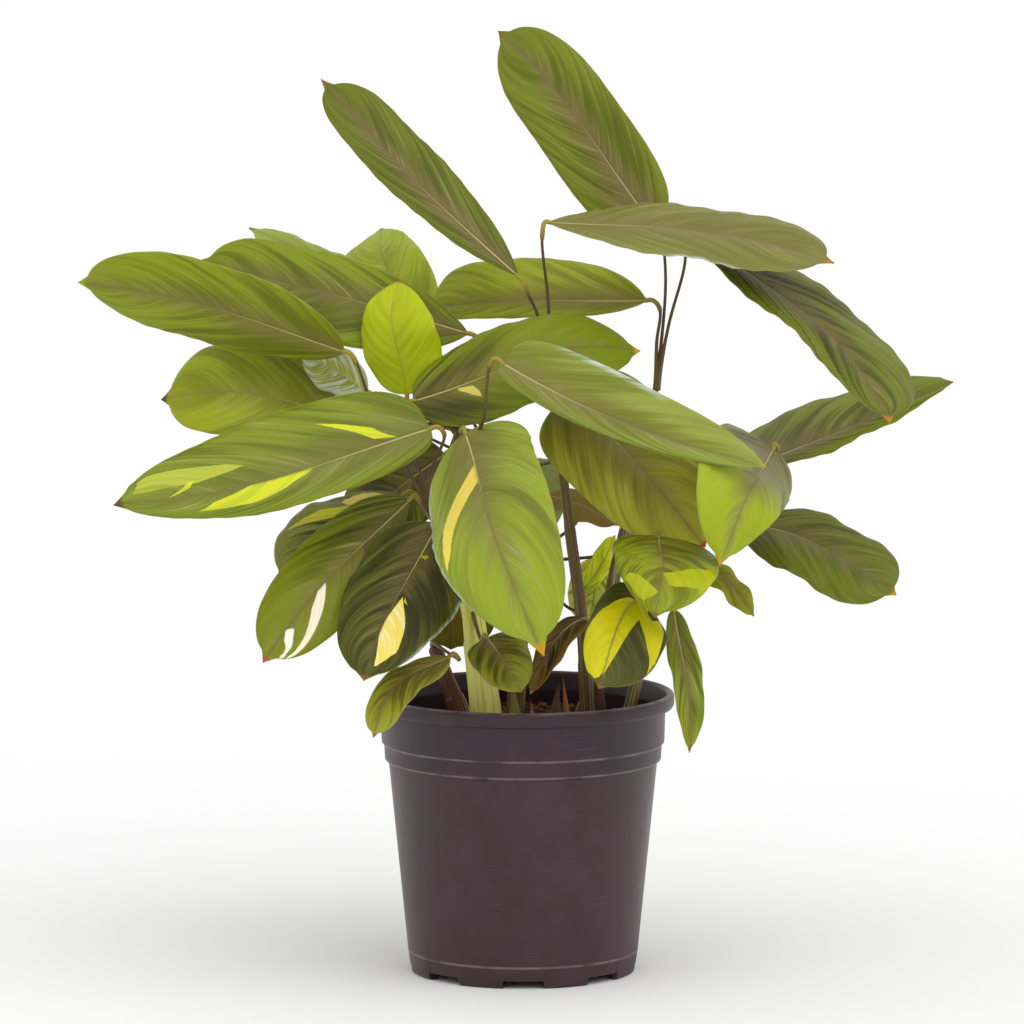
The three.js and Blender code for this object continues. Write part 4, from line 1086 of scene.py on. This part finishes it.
# What each blade shows. A patch is a hand of the midrib, its stations and two colours. A station is a share
# of the way to the margin, and the lowest and the highest place inside the patch there
LOOKS = {
    "leaf_crown": shows([101, 109, 22], [89, 95, 18], [119, 129, 33], earth=0.85, lobes=0.7, edge=0.7,
        lines=0.5, rib_colour=paint(176, 160, 128)),
    "leaf_flat": shows([123, 123, 58], [113, 112, 51], [138, 137, 73], earth=0.6, glow=0.15, lobes=0.25,
        sheen=0.35, edge=0.5, lines=0.7, tip=paint(176, 116, 24), frost=(1, 0.35, 0.75, 0.8)),
    "leaf_shoulder": shows([91, 97, 17], [69, 69, 13], [111, 120, 25], earth=0.7, glow=0.35, lines=0.6,
        tip=paint(190, 128, 30)),
    "leaf_reach_right": shows([94, 99, 15], [82, 86, 11], [117, 129, 23], earth=0.8, lobes=0.8, lines=0.5),
    "leaf_low_right": shows([92, 99, 11], [80, 84, 10], [111, 119, 16], earth=0.6, lobes=0.4, glow=0.45,
        tip=paint(200, 130, 20)),
    "leaf_under_right": shows([137, 139, 14], [124, 121, 10], [163, 165, 25], tip=paint(200, 140, 20)),
    "leaf_spear": shows([87, 93, 17], [79, 84, 14], [104, 113, 22], earth=0.9, lobes=0.75, edge=0.8,
        lines=0.5),
    "leaf_screen": shows([139, 147, 34], [125, 127, 27], [161, 171, 50], earth=0.8, lobes=0.6, glow=0.3),
    "leaf_middle": shows([91, 95, 10], [65, 64, 7], [119, 133, 11], earth=0.4, glow_from=0.4, glow=0.95,
        tip=paint(216, 170, 20), patches=[
        (1, [(0.06, 0.184, 0.2), (0.12, 0.17, 0.24), (0.18, 0.17, 0.23), (0.24, 0.17, 0.22),
             (0.3, 0.165, 0.211), (0.36, 0.161, 0.194), (0.43, 0.157, 0.17)], TAN, paint(196, 180, 84)),
    ]),
    "leaf_sliver": shows([145, 159, 57], [134, 145, 44], [156, 171, 73], sheen=0.7),
    "leaf_upper_left": shows([105, 114, 13], [94, 98, 12], [128, 143, 23], earth=0.6, lobes=0.8, glow=0.4),
    "leaf_reach_left": shows([116, 127, 19], [102, 108, 14], [130, 144, 25], earth=0.6, lobes=0.8, glow=0.4,
        tip=paint(150, 170, 40)),
    "leaf_mid_left": shows([130, 138, 20], [120, 126, 19], [146, 155, 26], earth=0.35, lobes=0.8, glow=0.5,
        tip=paint(70, 52, 22)),
    "leaf_silver": shows([160, 172, 20], [143, 150, 10], [194, 212, 44], silver=paint(206, 214, 186)),
    "leaf_mosaic": shows([114, 127, 31], [96, 107, 24], [128, 142, 34], earth=0.5, sheen=0.5, glow=0.4,
        tip=paint(92, 64, 20), patches=[
        (1, [(0.05, 0.092, 0.097), (0.16, 0.09, 0.14), (0.26, 0.08, 0.13), (0.37, 0.06, 0.12),
             (0.48, 0.063, 0.11), (0.58, 0.066, 0.104), (0.69, 0.084, 0.089)], YELLOW, YELLOW_DULL),
        (-1, [(0, 0.37, 0.58), (0.1, 0.38, 0.6), (0.2, 0.4, 0.62), (0.29, 0.4, 0.63), (0.39, 0.41, 0.61),
             (0.49, 0.42, 0.59), (0.59, 0.566, 0.571)], YELLOW, YELLOW_DULL),
        (1, [(0.31, 0.648, 0.664), (0.4, 0.46, 0.79), (0.5, 0.47, 0.79), (0.59, 0.5, 0.75),
             (0.68, 0.53, 0.7), (0.77, 0.55, 0.65), (0.86, 0.554, 0.597)], paint(176, 182, 62),
             paint(150, 160, 50)),
        (1, [(0.03, 0.822, 0.824), (0.08, 0.799, 0.81), (0.13, 0.766, 0.786), (0.18, 0.734, 0.76),
             (0.23, 0.701, 0.734), (0.29, 0.674, 0.704), (0.34, 0.65, 0.677)], YELLOW, YELLOW_DULL),
    ]),
    "leaf_low_left_back": shows([99, 102, 8], [73, 71, 6], [119, 120, 10], earth=0.4, lobes=0.6, patches=[
        (1, [(0.35, 0.12, 0.18), (0.43, -0.04, 0.19), (0.51, -0.08, 0.18), (0.67, -0.13, 0.1),
             (0.75, -0.16, 0.02), (0.83, -0.141, -0.119)], TAN, paint(196, 180, 70)),
        (1, [(0.26, 0.34, 0.41), (0.36, 0.2, 0.44), (0.45, 0.19, 0.45), (0.55, 0.23, 0.45),
             (0.65, 0.28, 0.45), (0.74, 0.38, 0.44), (0.84, 0.406, 0.419)], paint(188, 184, 24),
             paint(168, 166, 24)),
    ]),
    "leaf_low_left": shows([95, 101, 8], [69, 69, 7], [123, 133, 11], earth=0.5, glow_from=0.55, glow=0.8,
        lobes=0.8, tip=paint(190, 70, 30), patches=[
        (-1, [(0.02, 0.56, 0.62), (0.19, 0.56, 0.66), (0.35, 0.56, 0.66), (0.67, 0.57, 0.65),
             (0.84, 0.569, 0.616), (1, 0.538, 0.546)], WHITE, paint(238, 222, 190)),
        (-1, [(0, 0.831, 0.844), (0.17, 0.77, 0.84), (0.33, 0.758, 0.806), (0.67, 0.693, 0.721),
             (0.83, 0.628, 0.644), (1, 0.552, 0.566)], WHITE, paint(236, 240, 236)),
    ]),
    "leaf_low_centre": shows([72, 73, 10], [53, 52, 8], [86, 89, 13], earth=0.4, lobes=0.35, glow=0.3,
        edge=0.6, frost=(-1, 0.3, 0.9, 0.5), patches=[
        (-1, [(0, 0.66, 0.75), (0.1, 0.48, 0.81), (0.2, 0.51, 0.85), (0.29, 0.53, 0.85), (0.39, 0.55, 0.81),
             (0.49, 0.58, 0.74), (0.59, 0.636, 0.655)], CREAM, paint(246, 234, 180)),
        (-1, [(0.12, 0.47, 0.473), (0.15, 0.471, 0.479), (0.17, 0.476, 0.499), (0.2, 0.48, 0.497),
             (0.22, 0.483, 0.495), (0.25, 0.484, 0.492), (0.27, 0.487, 0.491)], GOLD, GOLD),
        (-1, [(0, 0.214, 0.231), (0.02, 0.212, 0.232), (0.05, 0.206, 0.229), (0.1, 0.195, 0.226),
             (0.12, 0.188, 0.225), (0.15, 0.185, 0.195)], paint(170, 160, 8), paint(150, 146, 8)),
    ]),
    "leaf_front": shows([131, 145, 53], [112, 118, 41], [147, 165, 41], earth=0.7, glow_from=0.6, glow=0.95,
        inward=0.25, sheen=0.5, rib_colour=paint(190, 184, 140), tip=paint(214, 150, 20),
        frost=(1, 0.0, 0.9, 0.7), patches=[
        (1, [(0, 0.18, 0.31), (0.15, 0.19, 0.32), (0.3, 0.19, 0.33), (0.44, 0.18, 0.33), (0.59, 0.17, 0.34),
             (0.74, 0.18, 0.36), (0.89, 0.305, 0.341)], CREAM, paint(230, 204, 84)),
    ]),
    "leaf_front_right": shows([129, 140, 52], [116, 122, 41], [146, 159, 68], earth=0.6, lobes=0.5,
        sheen=0.45, lines=0.6, rib_colour=paint(180, 164, 122), tip=paint(170, 160, 30),
        frost=(-1, 0.12, 0.62, 1.0)),
    "leaf_shade": shows([147, 145, 44], [121, 115, 34], [180, 182, 53], earth=0.7, lobes=0.45,
        glow_from=0.75, glow=0.5, tip=paint(178, 60, 40), patches=[
        (-1, [(0.04, 0.556, 0.569), (0.15, 0.549, 0.564), (0.27, 0.543, 0.56), (0.39, 0.532, 0.547),
             (0.5, 0.519, 0.535), (0.62, 0.498, 0.511), (0.74, 0.47, 0.479)], paint(158, 148, 20),
             paint(130, 124, 24)),
    ]),
    "leaf_bib": shows([127, 129, 92], [107, 102, 66], [151, 166, 29], earth=0.6, glow_from=0.62, glow=1.0,
        lobes=0.2, tip=paint(206, 150, 40)),
    "leaf_patch": shows([141, 155, 10], [101, 99, 10], [132, 146, 11], earth=0.4, patches=[
        (1, [(0.03, 0.847, 0.852), (0.17, 0.79, 0.85), (0.32, 0.72, 0.82), (0.61, 0.55, 0.73),
             (0.75, 0.48, 0.65), (0.9, 0.436, 0.477)], LIME, paint(156, 166, 14)),
        (-1, [(0.02, 0.701, 0.715), (0.19, 0.65, 0.76), (0.35, 0.58, 0.72), (0.67, 0.39, 0.58),
             (0.84, 0.29, 0.49), (1, 0.25, 0.45)], LIME, paint(156, 164, 14)),
        (1, [(0.15, 0.573, 0.576), (0.28, 0.519, 0.549), (0.41, 0.45, 0.51), (0.54, 0.37, 0.46),
             (0.67, 0.25, 0.39), (0.8, 0.08, 0.29), (0.93, -0.186, -0.183)], paint(136, 142, 18),
             paint(120, 126, 18)),
    ]),
    "leaf_yellow": shows([72, 72, 24], [66, 64, 21], [88, 92, 29], earth=0.3, lobes=0.2, patches=[
        (-1, [(0, 0.06, 0.92), (0.1, 0.05, 0.8), (0.2, 0.02, 0.64), (0.3, -0.03, 0.4), (0.42, -0.06, 0.1)],
             GOLD, paint(196, 190, 18)),
        (1, [(0, 0.15, 0.87), (0.17, 0.15, 0.88), (0.33, 0.18, 0.84), (0.5, 0.21, 0.79), (0.67, 0.2, 0.71),
             (0.83, 0.2, 0.61), (1, 0.2, 0.51)], GOLD, paint(196, 190, 18)),
        (-1, [(0.25, 0.076, 0.096), (0.37, 0.07, 0.23), (0.48, 0.06, 0.25), (0.6, 0.05, 0.27),
             (0.72, -0.1, 0.3), (0.83, -0.22, 0.32), (0.95, 0.14, 0.38)], GOLD, paint(196, 190, 18)),
    ]),
    "leaf_tail": shows([109, 117, 21], [87, 92, 13], [136, 147, 36], earth=0.5, lobes=0.7, lines=0.6),
    "leaf_edge": shows([134, 128, 35], [106, 95, 30], [164, 170, 44], earth=0.6),
    "leaf_close": shows([105, 105, 25], [86, 80, 16], [141, 148, 39], earth=0.4, lobes=0.5),
    "leaf_old": shows([71, 52, 6], [40, 27, 4], [148, 118, 9], glow=0.5, lobes=0.4, edge=0.5, gloss=0.6,
        tip=paint(190, 160, 30)),
    # Painted light: these two blades' greens are raised near to full brightness to offset the shade they
    # sit in
    "leaf_narrow": shows([235, 255, 17], [193, 207, 10], [255, 255, 46], earth=0.1),
    "leaf_pale": shows([239, 255, 101], [187, 180, 60], [255, 255, 117], earth=0.1),
    "leaf_brown": shows([157, 135, 65], [139, 114, 56], [193, 173, 92], under=paint(157, 135, 68),
        gloss=0.6),
    "leaf_new": shows([164, 177, 8], [157, 169, 5], [173, 187, 13], under=paint(167, 181, 15), earth=0.05,
        lobes=0.15, sheen=0.12, rim=0.2, lines=0.1, rib=0.2, rib_colour=paint(150, 150, 30)),
    "leaf_back_left": shows([143, 159, 31], [131, 142, 25], [155, 170, 40], earth=0.1, sheen=0.15,
        lines=0.15),
    "leaf_behind_low": shows([129, 118, 34], [120, 108, 28], [141, 133, 39], earth=0.4),
    "leaf_dark_left": shows([86, 86, 10], [66, 64, 7], [113, 118, 11]),
    "leaf_rear_left": OLIVE,
    "leaf_rear_right": OLIVE | {"lobes": 0.8},
    "leaf_rear_centre": FRESH,
    "leaf_rear_low": MOSAIC | {"patches": [
        (-1, [(0.04, 0.22, 0.4), (0.4, 0.24, 0.46), (0.8, 0.3, 0.44), (0.95, 0.34, 0.38)], YELLOW,
             YELLOW_DULL),
        (1, [(0.06, 0.55, 0.6), (0.3, 0.5, 0.64), (0.7, 0.46, 0.58), (1, 0.44, 0.52)], CREAM, WHITE),
    ]},
    "leaf_rear_side": OLIVE | {"lobes": 0.8},
}

# Shares of each cane at which an old sheath ends
SHEATH_LIPS = {
    "shoot_tall": [0.3, 0.62], "shoot_centre": [0.25, 0.6], "shoot_thick": [0.5, 0.83],
    "shoot_red": [0.55], "shoot_right": [0.5], "shoot_back": [0.4, 0.7],
}


def make_leaves():
    """A piece for each blade, each with its own finish."""
    for seed, (node, leaf) in enumerate(LEAVES.items()):
        name = node.replace("leaf_", "blade_")
        finish = leaf_finish(name.replace("_", " "), leaf, LOOKS[node], seed * 17.3)
        make_piece(name, [blade_part(leaf, seed)], finish, node)


def make_shoots():
    """For each shoot its cane, its branch where it has one, and the stalks of its leaves."""
    green = cane_finish("pale cane", paint(240, 232, 120), paint(222, 218, 92), paint(140, 134, 64))
    brown = cane_finish("brown cane", paint(112, 84, 52), paint(112, 96, 50), paint(62, 42, 26))
    red = cane_finish("red cane", paint(128, 62, 42), paint(96, 56, 40), paint(60, 30, 24))
    stalks = stalk_finish("leaf stalk", paint(116, 92, 52), paint(84, 64, 36), paint(150, 134, 40))
    canes = {"shoot_thick": green, "shoot_red": red}
    for node, shoot in SHOOTS.items():
        parts = [cane_part(shoot["cane"], SHEATH_LIPS[node])]
        name = node.replace("shoot_", "cane_")
        slot = "red_stem" if node == "shoot_red" else "stem"
        make_piece(name, parts, canes.get(node, brown), node)
        if "branch" in shoot:
            radii = np.linspace(*shoot["branch"]["radii"], BRANCH_ROWS)
            shares = np.linspace(0, 1, BRANCH_ROWS)
            branch = tube_part(shoot["branch"]["route"], shares, radii, BRANCH_SIDES)
            make_piece(name + "_branch", [branch], brown, node)
        own = [leaf for leaf in LEAVES.values() if leaf["fork"] in SHOOT_FORKS[node]]
        parts = [stalk_part(leaf, index * 0.37 + 0.1) for index, leaf in enumerate(own)]
        make_piece(name.replace("cane_", "stalks_"), parts, stalks, node)


def make_growths():
    """The small sheaths and the bud round the canes."""
    for node, growth in GROWTHS.items():
        title, *colours = growth["finish"]
        finish = husk_finish(title, *(paint(*colour) for colour in colours))
        make_piece("small_" + node, [growth_part(growth)], finish, node)


def make_pot():
    """The pot, its compost and the bark chips on it."""
    rng = np.random.default_rng(POT_SEED)
    make_piece("pot_shell", [pot_part()], pot_finish(), "pot", sharp=40)
    make_piece("compost", [soil_part(rng)], soil_finish(), "soil")
    make_piece("bark", chip_parts(rng, CHIPS), chip_finish(), "soil", sharp=35)


def make_floor(scene):
    """A wide pale floor under the pot."""
    floor = bpy.data.meshes.new("studio_floor")
    floor.from_pydata([(-40, -40, 0), (40, -40, 0), (40, 40, 0), (-40, 40, 0)], [], [(0, 1, 2, 3)])
    paper = Finish("studio paper", Roughness=0.9)
    paper.surface(paint(244, 244, 244))
    floor.materials.append(paper.material)
    stage = bpy.data.objects.new("studio_floor", floor)
    scene.collection.objects.link(stage)


def make_lights(scene):
    """A pale sky, a broad soft light from the upper right front, and a weaker one from the left."""
    world = bpy.data.worlds.new("studio sky")
    world.use_nodes = True
    sky = world.node_tree.nodes["Background"]
    sky.inputs["Color"].default_value = (1, 1, 1, 1)
    sky.inputs["Strength"].default_value = SKY
    scene.world = world
    for name, power, spread, bearing, rise in LIGHTS:
        light = bpy.data.lights.new(name, "SUN")
        light.energy = power
        light.angle = math.radians(spread)
        lamp = bpy.data.objects.new(name, light)
        lamp.rotation_euler = (math.radians(90 - rise), 0, math.radians(bearing))
        scene.collection.objects.link(lamp)


def make_camera(scene):
    """The camera, a little above the plant's middle and aimed at it. Its lens shows one photo pixel's width
    of the plant in each pixel."""
    camera = bpy.data.cameras.new("camera")
    camera.sensor_width = SENSOR
    camera.lens = SENSOR * CAMERA_DISTANCE / (PIXEL * PHOTO_PIXELS)
    eye = bpy.data.objects.new("camera", camera)
    down = math.radians(CAMERA_DOWN)
    back, rise = CAMERA_DISTANCE * math.cos(down), CAMERA_DISTANCE * math.sin(down)
    eye.location = (AIM[0], AIM[1] - back, AIM[2] + rise)
    eye.rotation_euler = (math.pi / 2 - down, 0, 0)
    scene.collection.objects.link(eye)
    scene.camera = eye
    scene.view_settings.view_transform = "Standard"


make_floor(bpy.context.scene)
make_lights(bpy.context.scene)
make_camera(bpy.context.scene)
make_leaves()
make_shoots()
make_growths()
make_pot()
